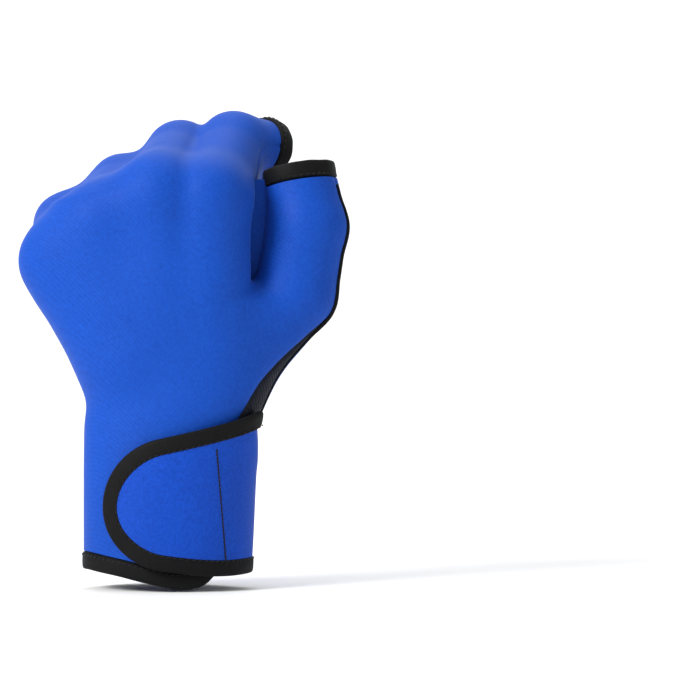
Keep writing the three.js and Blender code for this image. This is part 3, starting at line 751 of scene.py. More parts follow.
def fine_knit_group() -> bpy.types.NodeTree:
    """Slanted knit lines crossed by fainter ones, with the speckle of their loops."""
    nodes, given, result = node_group(
        "fine_knit",
        {
            "Vector": ("NodeSocketVector", None),
            "Pitch": ("NodeSocketFloat", 0.0012),
            "Speckle": ("NodeSocketFloat", 0.5),
        },
        {"Shade": "NodeSocketFloat", "Height": "NodeSocketFloat"},
    )
    waves = []
    for direction, weight in (((0.8, 0.55, 0.6), 1.0), ((-0.55, 0.4, 0.8), 1.6)):
        dot = nodes.add("ShaderNodeVectorMath", {0: given.outputs["Vector"], 1: direction}, operation="DOT_PRODUCT")
        turns = nodes.sum("DIVIDE", dot.outputs["Value"], given.outputs["Pitch"])
        waves.append(nodes.sum("SINE", nodes.sum("MULTIPLY", turns, math.tau * weight)))
    grain_scale = nodes.sum("DIVIDE", 0.9, given.outputs["Pitch"])
    grain = nodes.add("ShaderNodeTexNoise", {"Vector": given.outputs["Vector"], "Scale": grain_scale, "Detail": 2.0})
    loops = nodes.sum("MULTIPLY_ADD", waves[1], 0.3, waves[0])
    height = nodes.sum("MULTIPLY_ADD", loops, 0.3, 0.5)
    speckle = nodes.sum("SUBTRACT", grain.outputs["Fac"], 0.5)
    speckle = nodes.sum("MULTIPLY", speckle, given.outputs["Speckle"])
    shade = nodes.sum("ADD", nodes.sum("MULTIPLY_ADD", loops, 0.09, 0.5), nodes.sum("MULTIPLY", speckle, 1.6))
    nodes.tree.links.new(shade, result.inputs["Shade"])
    nodes.tree.links.new(nodes.sum("ADD", height, speckle), result.inputs["Height"])
    return nodes.tree


def soft_tone_group() -> bpy.types.NodeTree:
    """Broad, faint patches, as where cloth has been stretched or handled."""
    nodes, given, result = node_group(
        "soft_tone",
        {"Vector": ("NodeSocketVector", None), "Size": ("NodeSocketFloat", 0.03)},
        {"Patch": "NodeSocketFloat"},
    )
    scale = nodes.sum("DIVIDE", 1.0, given.outputs["Size"])
    cloud = nodes.add(
        "ShaderNodeTexNoise", {"Vector": given.outputs["Vector"], "Scale": scale, "Detail": 3.0, "Roughness": 0.55}
    )
    spread = nodes.add("ShaderNodeMapRange", {"Value": cloud.outputs["Fac"], "From Min": 0.32, "From Max": 0.68})
    nodes.tree.links.new(spread.outputs["Result"], result.inputs["Patch"])
    return nodes.tree


class Weave(Enum):
    """How a cloth is made."""

    JERSEY = "jersey"
    TAPE = "tape"
    MESH = "mesh"
    THREAD = "thread"


@dataclass(frozen=True)
class ClothFinish:
    """One cloth's colours, weave and gloss."""

    name: str
    weave: Weave
    dark: tuple[float, float, float]
    light: tuple[float, float, float]
    pitch: float
    speckle: float
    roughness: tuple[float, float]
    sheen: float
    sheen_tint: tuple[float, float, float]
    bump: float
    patch: float = 0.03
    specular: float = 0.12

    def material(self) -> bpy.types.Material:
        """Builds the material from the shared groups."""
        made = bpy.data.materials.new(self.name)
        made.use_nodes = True
        made.node_tree.nodes.clear()
        nodes = Nodes(made.node_tree)
        place = nodes.add("ShaderNodeTexCoord").outputs["Object"]
        knit = nodes.add("ShaderNodeGroup", node_tree=shared_group("fine_knit"))
        tone = nodes.add("ShaderNodeGroup", node_tree=shared_group("soft_tone"))
        links = made.node_tree.links
        links.new(place, knit.inputs["Vector"])
        links.new(place, tone.inputs["Vector"])
        knit.inputs["Pitch"].default_value = self.pitch * MM
        knit.inputs["Speckle"].default_value = self.speckle
        tone.inputs["Size"].default_value = self.patch
        shade = nodes.sum("MULTIPLY_ADD", tone.outputs["Patch"], 0.16, nodes.sum("SUBTRACT", knit.outputs["Shade"], 0.08))
        colour = nodes.add(
            "ShaderNodeMix",
            {"Factor": shade, "A": (*self.dark, 1), "B": (*self.light, 1)},
            data_type="RGBA",
        )
        for name in ("A", "B"):
            socket = [s for s in colour.inputs if s.name == name and s.type == "RGBA"][0]
            socket.default_value = (*(self.dark if name == "A" else self.light), 1)
        rough = nodes.add(
            "ShaderNodeMapRange",
            {"Value": tone.outputs["Patch"], "To Min": self.roughness[0], "To Max": self.roughness[1]},
        )
        bump = nodes.add(
            "ShaderNodeBump", {"Height": knit.outputs["Height"], "Strength": 1.0, "Distance": self.bump * MM}
        )
        shader = nodes.add(
            "ShaderNodeBsdfPrincipled",
            {
                "Base Color": [s for s in colour.outputs if s.type == "RGBA"][0],
                "Roughness": rough.outputs["Result"],
                "Normal": bump.outputs["Normal"],
                "Specular IOR Level": self.specular,
                "Sheen Weight": self.sheen,
                "Sheen Roughness": 0.45,
                "Sheen Tint": (*self.sheen_tint, 1),
            },
        )
        nodes.add("ShaderNodeOutputMaterial", {"Surface": shader.outputs["BSDF"]})
        made.diffuse_color = (*self.light, 1)
        return made


def shared_group(name: str) -> bpy.types.NodeTree:
    """A shader group by name, built the first time that it is asked for."""
    if name not in bpy.data.node_groups:
        {"fine_knit": fine_knit_group, "soft_tone": soft_tone_group}[name]()
    return bpy.data.node_groups[name]


BLUE = ClothFinish(
    name="blue_neoprene",
    weave=Weave.JERSEY,
    dark=(0.0022, 0.039, 0.29),
    light=(0.0055, 0.072, 0.45),
    pitch=0.95,
    speckle=0.6,
    roughness=(0.55, 0.66),
    sheen=0.06,
    sheen_tint=(0.45, 0.7, 1.0),
    bump=0.035,
)
STRAP_BLUE = ClothFinish(
    name="strap_neoprene",
    weave=Weave.JERSEY,
    dark=(0.0018, 0.036, 0.30),
    light=(0.0045, 0.063, 0.46),
    pitch=0.8,
    speckle=0.9,
    roughness=(0.55, 0.66),
    sheen=0.08,
    sheen_tint=(0.45, 0.7, 1.0),
    bump=0.04,
    patch=0.02,
)
MESH = ClothFinish(
    name="black_mesh_cloth",
    weave=Weave.MESH,
    dark=(0.002, 0.0024, 0.006),
    light=(0.010, 0.012, 0.022),
    pitch=1.5,
    speckle=1.0,
    roughness=(0.55, 0.75),
    sheen=0.04,
    sheen_tint=(0.6, 0.7, 1.0),
    bump=0.16,
)
TAPE = ClothFinish(
    name="black_tape_cloth",
    weave=Weave.TAPE,
    dark=(0.0016, 0.0016, 0.0018),
    light=(0.0052, 0.0052, 0.0058),
    pitch=0.7,
    speckle=0.6,
    roughness=(0.6, 0.75),
    sheen=0.02,
    sheen_tint=(0.8, 0.85, 1.0),
    bump=0.07,
    patch=0.012,
)
THREAD = ClothFinish(
    name="black_sewing_thread",
    weave=Weave.THREAD,
    dark=(0.003, 0.003, 0.0034),
    light=(0.010, 0.010, 0.011),
    pitch=0.3,
    speckle=0.4,
    roughness=(0.4, 0.55),
    sheen=0.1,
    sheen_tint=(1.0, 1.0, 1.0),
    bump=0.03,
)


# ---------------------------------------------------------------- stitches


@dataclass(frozen=True)
class StitchRow:
    """Stitches along lines on a surface, in millimetres."""

    pitch: float = 2.1
    length: float = 1.5
    girth: float = 0.42
    slant: float = 0.25
    stray: float = 0.22
    seed: int = 7

    SOCKETS = (
        ("Pitch", "NodeSocketFloat"),
        ("Length", "NodeSocketFloat"),
        ("Girth", "NodeSocketFloat"),
        ("Slant", "NodeSocketFloat"),
        ("Stray", "NodeSocketFloat"),
        ("Seed", "NodeSocketInt"),
        ("Thread", "NodeSocketMaterial"),
    )

    @classmethod
    def tree(cls) -> bpy.types.NodeTree:
        """The shared tree that lays one stitch after another along each line."""
        name = "stitch_row"
        if name in bpy.data.node_groups:
            return bpy.data.node_groups[name]
        tree = bpy.data.node_groups.new(name, "GeometryNodeTree")
        tree.interface.new_socket("Geometry", in_out="INPUT", socket_type="NodeSocketGeometry")
        for socket, kind in cls.SOCKETS:
            tree.interface.new_socket(socket, in_out="INPUT", socket_type=kind)
        tree.interface.new_socket("Geometry", in_out="OUTPUT", socket_type="NodeSocketGeometry")
        nodes = Nodes(tree)
        given, result = nodes.add("NodeGroupInput"), nodes.add("NodeGroupOutput")
        line = nodes.add("GeometryNodeMeshToCurve", {"Mesh": given.outputs["Geometry"]})
        dots = nodes.add(
            "GeometryNodeCurveToPoints",
            {"Curve": line.outputs["Curve"], "Length": given.outputs["Pitch"]},
            mode="LENGTH",
        )
        away = nodes.add("GeometryNodeInputNamedAttribute", {"Name": "away"}, data_type="FLOAT_VECTOR")
        ahead = nodes.add(
            "FunctionNodeAlignRotationToVector", {"Vector": dots.outputs["Tangent"]}, axis="X", pivot_axis="AUTO"
        )
        upright = nodes.add(
            "FunctionNodeAlignRotationToVector",
            {"Rotation": ahead.outputs["Rotation"], "Vector": away.outputs["Attribute"]},
            axis="Z",
            pivot_axis="X",
        )
        stray = nodes.add(
            "FunctionNodeRandomValue",
            {"Seed": given.outputs["Seed"]},
            data_type="FLOAT",
        )
        spread = nodes.sum("MULTIPLY", nodes.sum("SUBTRACT", stray.outputs[1], 0.5), given.outputs["Stray"])
        angle = nodes.sum("ADD", given.outputs["Slant"], nodes.sum("MULTIPLY", spread, 2.0))
        twist = nodes.add("FunctionNodeAxisAngleToRotation", {"Axis": (0, 0, 1), "Angle": angle})
        turned = nodes.add(
            "FunctionNodeRotateRotation",
            {"Rotation": upright.outputs["Rotation"], "Rotate By": twist.outputs["Rotation"]},
            rotation_space="LOCAL",
        )
        half_length = nodes.sum("MULTIPLY", given.outputs["Length"], 0.5)
        half_girth = nodes.sum("MULTIPLY", given.outputs["Girth"], 0.5)
        size = nodes.add("ShaderNodeCombineXYZ", {"X": half_length, "Y": half_girth, "Z": half_girth})
        bead = nodes.add("GeometryNodeMeshUVSphere", {"Segments": 8, "Rings": 6, "Radius": 1.0})
        laid = nodes.add(
            "GeometryNodeInstanceOnPoints",
            {
                "Points": dots.outputs["Points"],
                "Instance": bead.outputs["Mesh"],
                "Rotation": turned.outputs["Rotation"],
                "Scale": size.outputs["Vector"],
            },
        )
        real = nodes.add("GeometryNodeRealizeInstances", {"Geometry": laid.outputs["Instances"]})
        dressed = nodes.add(
            "GeometryNodeSetMaterial", {"Geometry": real.outputs["Geometry"], "Material": given.outputs["Thread"]}
        )
        tree.links.new(dressed.outputs["Geometry"], result.inputs["Geometry"])
        return tree

    def sew(self, name: str, lines: list[tuple[Points, Points]], thread: bpy.types.Material) -> bpy.types.Object:
        """Sews rows of stitches.

        Args:
            name: The piece's name.
            lines: For each line, its points and the way out of the cloth at each, in millimetres.
            thread: The thread's material.

        Returns:
            The stitches as one plain mesh.
        """
        points, edges, away = [], [], []
        for line, out in lines:
            first = len(points)
            points += (line * MM).tolist()
            away += unit(out).tolist()
            edges += [(first + i, first + i + 1) for i in range(len(line) - 1)]
        mesh = bpy.data.meshes.new(name)
        mesh.from_pydata(points, edges, [])
        mesh.attributes.new("away", "FLOAT_VECTOR", "POINT").data.foreach_set("vector", np.array(away).ravel())
        piece = bpy.data.objects.new(name, mesh)
        bpy.context.scene.collection.objects.link(piece)
        row = piece.modifiers.new("stitches", "NODES")
        row.node_group = self.tree()
        values = {
            "Pitch": self.pitch * MM,
            "Length": self.length * MM,
            "Girth": self.girth * MM,
            "Slant": self.slant,
            "Stray": self.stray,
            "Seed": self.seed,
            "Thread": thread,
        }
        for item in row.node_group.interface.items_tree:
            if item.in_out == "INPUT" and item.name in values:
                row[item.identifier] = values[item.name]
        plain(piece)
        piece.data.shade_smooth()
        return piece


# ---------------------------------------------------------------- the glove's pieces


@dataclass
class Finishes:
    """The materials that the pieces share."""

    blue: bpy.types.Material
    strap: bpy.types.Material
    mesh: bpy.types.Material
    tape: bpy.types.Material
    thread: bpy.types.Material

    @classmethod
    def build(cls) -> "Finishes":
        """Builds one material for each finish."""
        return cls(BLUE.material(), STRAP_BLUE.material(), MESH.material(), TAPE.material(), THREAD.material())


def tape_profile(width: float, thickness: float, count: int = 20, squareness: float = 4.2) -> Points:
    """The rounded section of a folded tape: across its width, and up from its middle."""
    turn = np.linspace(0, math.tau, count, endpoint=False)
    c, s = np.cos(turn), np.sin(turn)
    across = width / 2 * np.sign(c) * np.abs(c) ** (2 / squareness)
    up = thickness / 2 * np.sign(s) * np.abs(s) ** (2 / squareness)
    return np.stack([across, up], -1)


def report(piece: bpy.types.Object) -> None:
    """Logs a finished piece."""
    count = sum(len(face.vertices) - 2 for face in piece.data.polygons)
    log.info("%s: %d triangles", piece.name, count)


@dataclass
class Panels:
    """The cloth panels of the hand: back, palm and side gusset."""

    form: HandForm
    finishes: Finishes
    cell: float = 1.15
    wall: float = 2.4
    gap: float = -0.08
    seam_round: float = 1.5
    seam_depth: float = 0.55
    low: tuple[float, float, float] = (-54.0, -28.0, -2.0)
    high: tuple[float, float, float] = (68.0, 58.0, 168.0)

    def skin(self) -> Surface:
        """The hand's whole skin, cut at the cuff and at the openings."""
        form = self.form
        surface = Surface.of_form(form.skin, self.low, self.high, self.cell)
        surface.relax(form.skin, 4, self.cell)
        snap = self.cell * 0.3
        for side in (form.below_cuff, form.past_fingers, form.past_thumb):
            surface = surface.cut(side, form.skin, snap)
        return surface

    def sunk(self, surface: Surface, sides: Sequence[Field]) -> Surface:
        """Rolls a panel's edges in towards its seams.

        Args:
            surface: The panel.
            sides: The fields whose noughts are its seams.

        Returns:
            The same panel with round edges.
        """
        near = np.min([np.abs(side(surface.points)) for side in sides], axis=0)
        drop = self.seam_depth * np.clip(1 - near / self.seam_round, 0, 1) ** 2
        normal = unit(gradient(self.form.skin, surface.points))
        surface.points = surface.points - normal * drop[:, None]
        return surface

    def build(self) -> dict[str, bpy.types.Object]:
        """Builds the three panels."""
        form, gap = self.form, self.gap
        skin = self.skin()
        snap = self.cell * 0.3

        def back_side(points: Points) -> Points:
            """Less than nought on the back panel."""
            return form.back_edge(points) + gap

        def palm_side(points: Points) -> Points:
            """Less than nought on the palm panel."""
            return gap - form.seam(points)

        def gusset_palm(points: Points) -> Points:
            """Less than nought on the gusset's side of the seam."""
            return form.seam(points) + gap

        def gusset_back(points: Points) -> Points:
            """Less than nought on the gusset's side of the back panel's edge."""
            return gap - form.back_edge(points)

        back = skin.cut(back_side, form.skin, snap)
        palm = skin.cut(palm_side, form.skin, snap)
        gusset = skin.cut(gusset_palm, form.skin, snap).cut(gusset_back, form.skin, 0.12)
        keep = gusset.points[gusset.faces].mean(1)
        gusset = Surface(gusset.points, gusset.faces[(keep[:, 0] > 0) & (keep[:, 2] < form.gusset_height)]).tidy()
        seams = (form.seam, form.back_edge)
        pieces = {}
        for name, surface, sides, finish in (
            ("back_panel", back, seams[1:], self.finishes.blue),
            ("palm_cloth", palm, seams[:1], self.finishes.blue),
            ("gusset_cloth", gusset, seams, self.finishes.mesh),
        ):
            surface = self.sunk(surface, sides)
            piece = new_object(name, surface.mesh(name), finish)
            pieces[name] = thickened(piece, self.wall, -1)
            report(piece)
        return pieces


@dataclass
class Webs:
    """The sheets that join neighbouring stalls inside the hand, and the one beside the thumb."""

    form: HandForm
    finishes: Finishes
    thickness: float = 2.0
    free_edge: float = 0.35
    reach: float = 1.25
    thumb_rows: tuple = ((91, 20.5, 38), (104, 19, 36.5), (117, 16.7, 38), (126, 15.2, 39.5), (132.6, 15.2, 41), (136.5, 15.4, 39.5))
    thumb_middle: float = 3.0

    def build(self) -> list[bpy.types.Object]:
        """Builds the three finger webs and the thumb's."""
        found = [self.between(a, b) for a, b in zip(self.form.stalls, self.form.stalls[1:])]
        found.append(self.beside_thumb())
        return found

    def between(self, one: Stall, other: Stall) -> bpy.types.Object:
        """The web between two stalls, trimmed to the inside of the skin and to the openings."""
        stations = []
        radius = self.form.palm_breadth * self.form.stall_share
        for share in np.linspace(self.free_edge, 2.05, 44):
            a, b = one.along(share), other.along(share)
            across = unit(a - b)
            ahead = unit(one.along(share + 0.05) - one.along(share - 0.05))
            up = unit(np.cross(across, ahead))
            rises = np.linspace(-self.reach, self.reach, 26) * radius
            stations.append((a + b) / 2 + rises[:, None] * up)
        sheet = grid_surface(np.array(stations), closed=False)
        sheet = sheet.cut(lambda p: self.form.skin(p) + 1.2)
        sheet = sheet.cut(lambda p: self.form.past_fingers(p) - 3.5)
        name = f"{one.name}_{other.name}_web"
        piece = new_object(name, sheet.mesh(name), self.finishes.blue)
        report(thickened(piece, self.thickness, 0))
        return piece

    def beside_thumb(self) -> bpy.types.Object:
        """The web between the palm's side and the thumb."""
        heights = np.linspace(self.thumb_rows[0][0], self.thumb_rows[-1][0], 30)
        ends = read_table(self.thumb_rows, heights)
        stations = []
        for z, (start, end) in zip(heights, ends):
            x = np.linspace(start, end, 18)
            stations.append(np.stack([x, np.full_like(x, self.thumb_middle), np.full_like(x, z)], -1))
        sheet = grid_surface(np.array(stations), closed=False)
        sheet = sheet.cut(lambda p: -1.6 - self.form.skin(p))
        piece = new_object("thumb_web", sheet.mesh("thumb_web"), self.finishes.blue)
        report(thickened(piece, self.thickness, 0))
        return piece


@dataclass
class Bindings:
    """The black tapes folded over the edges of the openings."""

    form: HandForm
    finishes: Finishes
    wall: float = 2.5
    tuck: float = 0.3
    proud: float = 0.5
    ripple: float = 0.1
    stations: int = 120
    stitch_in: float = 1.0

    def build(self) -> dict[str, bpy.types.Object]:
        """Builds a tape for each finger, the thumb and the cuff."""
        form = self.form
        pieces = {}
        for stall in form.stalls:
            pieces[f"{stall.name}_tape"] = self.ring(f"{stall.name}_tape", stall.end, stall.faces, stall.radii[3])
        thumb = form.thumb[-1]
        pieces["thumb_tape"] = self.ring("thumb_tape", thumb.end, form.thumb_faces, thumb.end_radius)
        pieces["cuff_tape"] = self.cuff()
        for piece in pieces.values():
            report(piece)
        return pieces

    @property
    def thickness(self) -> float:
        """From the tape's inner face to its outer one."""
        return self.wall + self.tuck + self.proud

    def swept(self, name: str, place: Callable[[Points, Points], Points]) -> bpy.types.Object:
        """Sweeps the tape's section round an opening.

        Args:
            name: The piece's name.
            place: Gives the place of a point in the section at a turn, from its distances
                along the limb and out from the skin.

        Returns:
            The tape.
        """
        profile = tape_profile(self.form.binding_width, self.thickness)
        middle = self.proud - self.thickness / 2
        turns = np.linspace(0, math.tau, self.stations, endpoint=False)
        rings = []
        for turn in turns:
            wave = self.ripple * (math.sin(5 * turn + 1) + 0.7 * math.sin(11 * turn))
            along = profile[:, 0] + 0.6 * wave
            out = middle + profile[:, 1] * (1 + 0.1 * wave) + wave * 0.5
            rings.append(place(np.full(len(profile), turn), np.stack([along, out], -1)))
        surface = facing_out(grid_surface(np.array(rings), closed=True))
        return new_object(name, surface.mesh(name), self.finishes.tape)

    def ring(self, name: str, end: Points, faces: Points, radius: float) -> bpy.types.Object:
        """The tape round a finger's or the thumb's opening."""
        across = unit(np.cross(faces, np.array([0.0, 0.0, 1.0])))
        up = np.cross(faces, across)
        half = self.form.binding_width / 2

        def place(turn: Points, at: Points) -> Points:
            """A point on the ring."""
            radial = np.cos(turn)[:, None] * across + np.sin(turn)[:, None] * up
            return end + faces * (at[:, :1] - half) + radial * (radius + at[:, 1:])

        return self.swept(name, place)

    def cuff(self) -> bpy.types.Object:
        """The tape round the wrist's opening."""
        form = self.form

        def place(turn: Points, at: Points) -> Points:
            """A point on the cuff."""
            degrees = 180 - np.degrees(turn)
            z = form.hem(degrees) + form.binding_width / 2 + at[:, 0]
            return form.wrist_point(degrees, z, at[:, 1])

        return self.swept("cuff_tape", place)

    def stitches(self) -> bpy.types.Object:
        """The stitch rows near the inner edge of every tape."""
        form, lines = self.form, []
        ends = [(stall.end, stall.faces, stall.radii[3]) for stall in form.stalls]
        ends.append((form.thumb[-1].end, form.thumb_faces, form.thumb[-1].end_radius))
        turns = np.linspace(0, math.tau, 73)
        for end, faces, radius in ends:
            across = unit(np.cross(faces, np.array([0.0, 0.0, 1.0])))
            radial = np.cos(turns)[:, None] * across + np.sin(turns)[:, None] * np.cross(faces, across)
            back = form.binding_width - self.stitch_in
            lines.append((end - faces * back + radial * (radius + self.proud), radial))
        degrees = np.linspace(180, -180, 145)
        z = form.hem(degrees) + form.binding_width - self.stitch_in
        line = form.wrist_point(degrees, z, np.full_like(z, self.proud))
        outer = form.wrist_point(degrees, z, np.full_like(z, self.proud + 1))
        lines.append((line, outer - line))
        piece = StitchRow().sew("binding_stitches", lines, self.finishes.thread)
        report(piece)
        return piece


@dataclass
class WristTab:
    """The closing tab that lies round the wrist, with the tape round its edge."""

    form: HandForm
    finishes: Finishes
    root_height: float = 59.0
    tip_height: float = 37.0
    centre_height: float = 30.5
    tilt: float = 0.1
    tip_round: float = 17.0
    root_angle: float = 16.0
    tip_angle: float = -128.0
    rest: float = 0.85
    thickness: float = 3.0
    dip: float = 2.2
    sink_run: float = 9.0
    sink_depth: float = 3.2
    tape_sink: float = 0.9
    lean: float = 34.0
    fold_height: float = 36.0
    edge_steps: int = 60

    @property
    def length(self) -> float:
        """The tab's run round the wrist."""
        mean = (self.form.wrist_breadth + self.form.wrist_depth) / 4
        return math.radians(self.root_angle - self.tip_angle) * (mean + self.rest)

    def height(self, run: Points, v: Points) -> Points:
        """Height on the tab, v going from -1 at its lower edge to 1 at its upper one."""
        share = run / self.length
        dip = self.dip * np.clip(-v, 0, 1) * np.sin(math.pi * np.clip(share, 0, 1)) ** 2
        return self.centre_height - self.tilt * run + v * mix(self.root_height, self.tip_height, share) / 2 - dip

    def run_end(self, v: Points, inset: float) -> Points:
        """Where the rounded tip ends at a share of the height."""
        fullness = np.sqrt(np.clip(1 - v**2, 0, 1))
        return self.length - inset - (self.tip_round - 0.4 * inset) * (1 - fullness)

    def place(self, run: Points, z: Points, offset: Points, root: Points, depth: float) -> Points:
        """A point over the skin, sinking by a depth towards it beside the sewn root."""
        turn = mix(self.root_angle, self.tip_angle, run / self.length)
        sink = depth * np.clip(1 - (run - root) / self.sink_run, 0, 1) ** 2
        return self.form.over_skin(turn, z, offset) - self.out(turn, z) * sink[:, None]

    def out(self, turn: Points, z: Points) -> Points:
        """The way out of the wrist at a turn and height."""
        near = self.form.wrist_point(turn, z, np.zeros_like(z))
        return unit(self.form.wrist_point(turn, z, np.ones_like(z)) - near)

    def root_run(self, v: Points) -> Points:
        """Where the slanted, sewn root lies at a share of the height."""
        slant = math.radians(self.lean)
        low, high = np.zeros_like(v), np.full_like(v, 45.0)
        for _ in range(24):
            run = (low + high) / 2
            z = self.height(run, v)
            turn = mix(self.root_angle, self.tip_angle, run / self.length)
            point = self.form.wrist_point(turn, z, np.full_like(z, self.rest))
            past = (point[:, 1] - self.form.wrist_depth * 0.1) * math.cos(slant)
            past += (z - self.fold_height) * math.sin(slant)
            low, high = np.where(past > 0, run, low), np.where(past > 0, high, run)
        return np.where(high < 0.05, 0, (low + high) / 2)

    def edge(self, inset: float) -> tuple[Points, Points]:
        """The tab's outline from the root's foot round the tip to its top, at an inset.

        Args:
            inset: How far inside the outline the line lies.

        Returns:
            Points of run and height, and the way out of the tab at each.
        """
        v = np.sin(np.linspace(-math.pi / 2, math.pi / 2, 121))
        tip = np.stack([self.run_end(v, 0), self.height(self.run_end(v, 0), v)], -1)
        start, finish = self.root_run(np.array([-1.0, 1.0]))
        foot = np.linspace(start, tip[0, 0], 90)[:-1]
        head = np.linspace(tip[-1, 0], finish, 90)[1:]
        low = np.stack([foot, self.height(foot, np.full_like(foot, -1))], -1)
        high = np.stack([head, self.height(head, np.full_like(head, 1))], -1)
        line = np.concatenate([low, tip, high])
        ahead = unit(np.gradient(line, axis=0))
        out = np.stack([ahead[:, 1], -ahead[:, 0]], -1)
        line = line - out * inset
        gone = np.concatenate([[0], np.cumsum(np.linalg.norm(np.diff(line, axis=0), axis=1))])
        even = np.linspace(0, gone[-1], self.edge_steps * 4)
        line = np.stack([np.interp(even, gone, line[:, k]) for k in range(2)], -1)
        ahead = unit(np.gradient(line, axis=0))
        return line, np.stack([ahead[:, 1], -ahead[:, 0]], -1)

    def share_at(self, line: Points) -> Points:
        """The share of the height, -1 to 1, at points of run and height."""
        half = mix(self.root_height, self.tip_height, line[:, 0] / self.length) / 2
        return np.clip((line[:, 1] - self.centre_height + self.tilt * line[:, 0]) / half, -1, 1)

    def build(self) -> dict[str, bpy.types.Object]:
        """Builds the tab's cloth and its tape."""
        pieces = {"tab_cloth": self.cloth(), "tab_tape": self.tape()}
        for piece in pieces.values():
            report(piece)
        return pieces

    def cloth(self) -> bpy.types.Object:
        """The tab's blue cloth, its edge tucked into the tape."""
        inset, inner, outer = 2.6, self.rest + 0.5, self.rest + self.thickness - 0.45
        half = (self.root_height / 2 - inset) / (self.root_height / 2)
        shares = np.sin(np.linspace(-math.pi / 2, math.pi / 2, 46)) * half
        rings = []
        for row in np.linspace(0, 1, 96):
            roots = self.root_run(shares)
            runs = mix(roots, self.run_end(shares / half, inset), row)
            z = self.height(runs, shares)
            crown = 0.25 * (1 - (shares / half) ** 4)
            top = self.place(runs, z, outer + crown, roots, self.sink_depth)
            under = self.place(runs, z, np.full_like(z, inner), roots, self.sink_depth)
            rings.append(np.concatenate([under, top[::-1]]))
        surface = facing_out(grid_surface(np.array(rings), closed=False, capped=True))
        return new_object("tab_cloth", surface.mesh("tab_cloth"), self.finishes.strap)

    def tape(self) -> bpy.types.Object:
        """The tape folded over the tab's edge."""
        width = self.form.binding_width
        line, out = self.edge(width / 2)
        profile = tape_profile(width, self.thickness, 22, 3.6)
        middle = self.rest + self.thickness / 2
        roots = self.root_run(self.share_at(line))
        rings = []
        for across, up in profile:
            at = line + out * across
            offset = np.full(len(at), middle + up)
            rings.append(self.place(at[:, 0], at[:, 1], offset, roots, self.tape_sink))
        surface = facing_out(grid_surface(np.array(rings).transpose(1, 0, 2), closed=False, capped=True))
        return new_object("tab_tape", surface.mesh("tab_tape"), self.finishes.tape)

    def stitches(self) -> bpy.types.Object:
        """The stitch row along the tape's inner edge."""
        width = self.form.binding_width
        lines = []
        line, _ = self.edge(width - 0.9)
        roots = self.root_run(self.share_at(line))
        top = np.full(len(line), self.rest + self.thickness)
        points = self.place(line[:, 0], line[:, 1], top, roots, self.tape_sink)
        over = self.place(line[:, 0], line[:, 1], top + 1, roots, self.tape_sink)
        lines.append((points, over - points))
        piece = StitchRow(seed=11).sew("tab_stitches", lines, self.finishes.thread)
        report(piece)
        return piece

    def slanted_seam(self) -> bpy.types.Object:
        """The slanted line of close stitches that sews the tab to the back panel."""
        z = np.linspace(43.5, 5.0, 60)
        x = np.interp(z, [5.5, 43.1], [20.4, 17.25])
        low, high = np.full_like(z, -80.0), np.full_like(z, -5.0)
        offset = np.full_like(z, self.rest + self.thickness - 0.3)
        for _ in range(24):
            turn = (low + high) / 2
            short = self.form.over_skin(turn, z, offset)[:, 0] < x
            low, high = np.where(short, turn, low), np.where(short, high, turn)
        line = self.form.over_skin((low + high) / 2, z, offset)
        out = self.out((low + high) / 2, z)
        row = StitchRow(pitch=1.25, length=1.6, girth=0.75, slant=0.12, stray=0.2, seed=23)
        piece = row.sew("tab_seam_stitches", [(line, out)], self.finishes.thread)
        report(piece)
        return piece


@dataclass
class ThumbPiping:
    """The narrow black edge of the gusset's cloth that runs up the thumb's outer side."""

    form: HandForm
    finishes: Finishes
    low: float = 52.0
    high: float = 134.6
    radii: tuple = ((0, 0.4), (0.3, 0.5), (0.45, 1.0), (0.6, 0.95), (0.8, 0.75), (1, 0.65))
    steps: int = 90

    def line(self) -> tuple[Points, Points]:
        """The seam's line up the thumb, and the way out of the skin along it."""
        z = np.linspace(self.low, self.high, self.steps)
        points = np.stack([np.full_like(z, 60.0), np.full_like(z, 3.0), z], -1)
        for _ in range(14):
            for form in (self.form.skin, self.form.seam):
                slope = gradient(form, points)
                slope[:, 2] = 0
                size2 = (slope**2).sum(1) + 1e-3
                points = points - np.clip(form(points) / size2, -3, 3)[:, None] * slope
        return points, unit(gradient(self.form.skin, points))

    def build(self) -> bpy.types.Object:
        """Builds the piping."""
        points, out = self.line()
        ahead = unit(np.gradient(points, axis=0))
        side = np.cross(ahead, out)
        turns = np.linspace(0, math.tau, 12, endpoint=False)
        radius = read_table(self.radii, np.linspace(0, 1, len(points)))[:, :, None]
        ring = np.cos(turns)[None, :, None] * out[:, None, :] + np.sin(turns)[None, :, None] * side[:, None, :]
        stations = points[:, None, :] - 0.1 * out[:, None, :] + ring * radius
        surface = facing_out(grid_surface(stations, closed=False, capped=True))
        piece = new_object("thumb_piping", surface.mesh("thumb_piping"), self.finishes.tape)
        report(piece)
        return piece


# ---------------------------------------------------------------- the studio


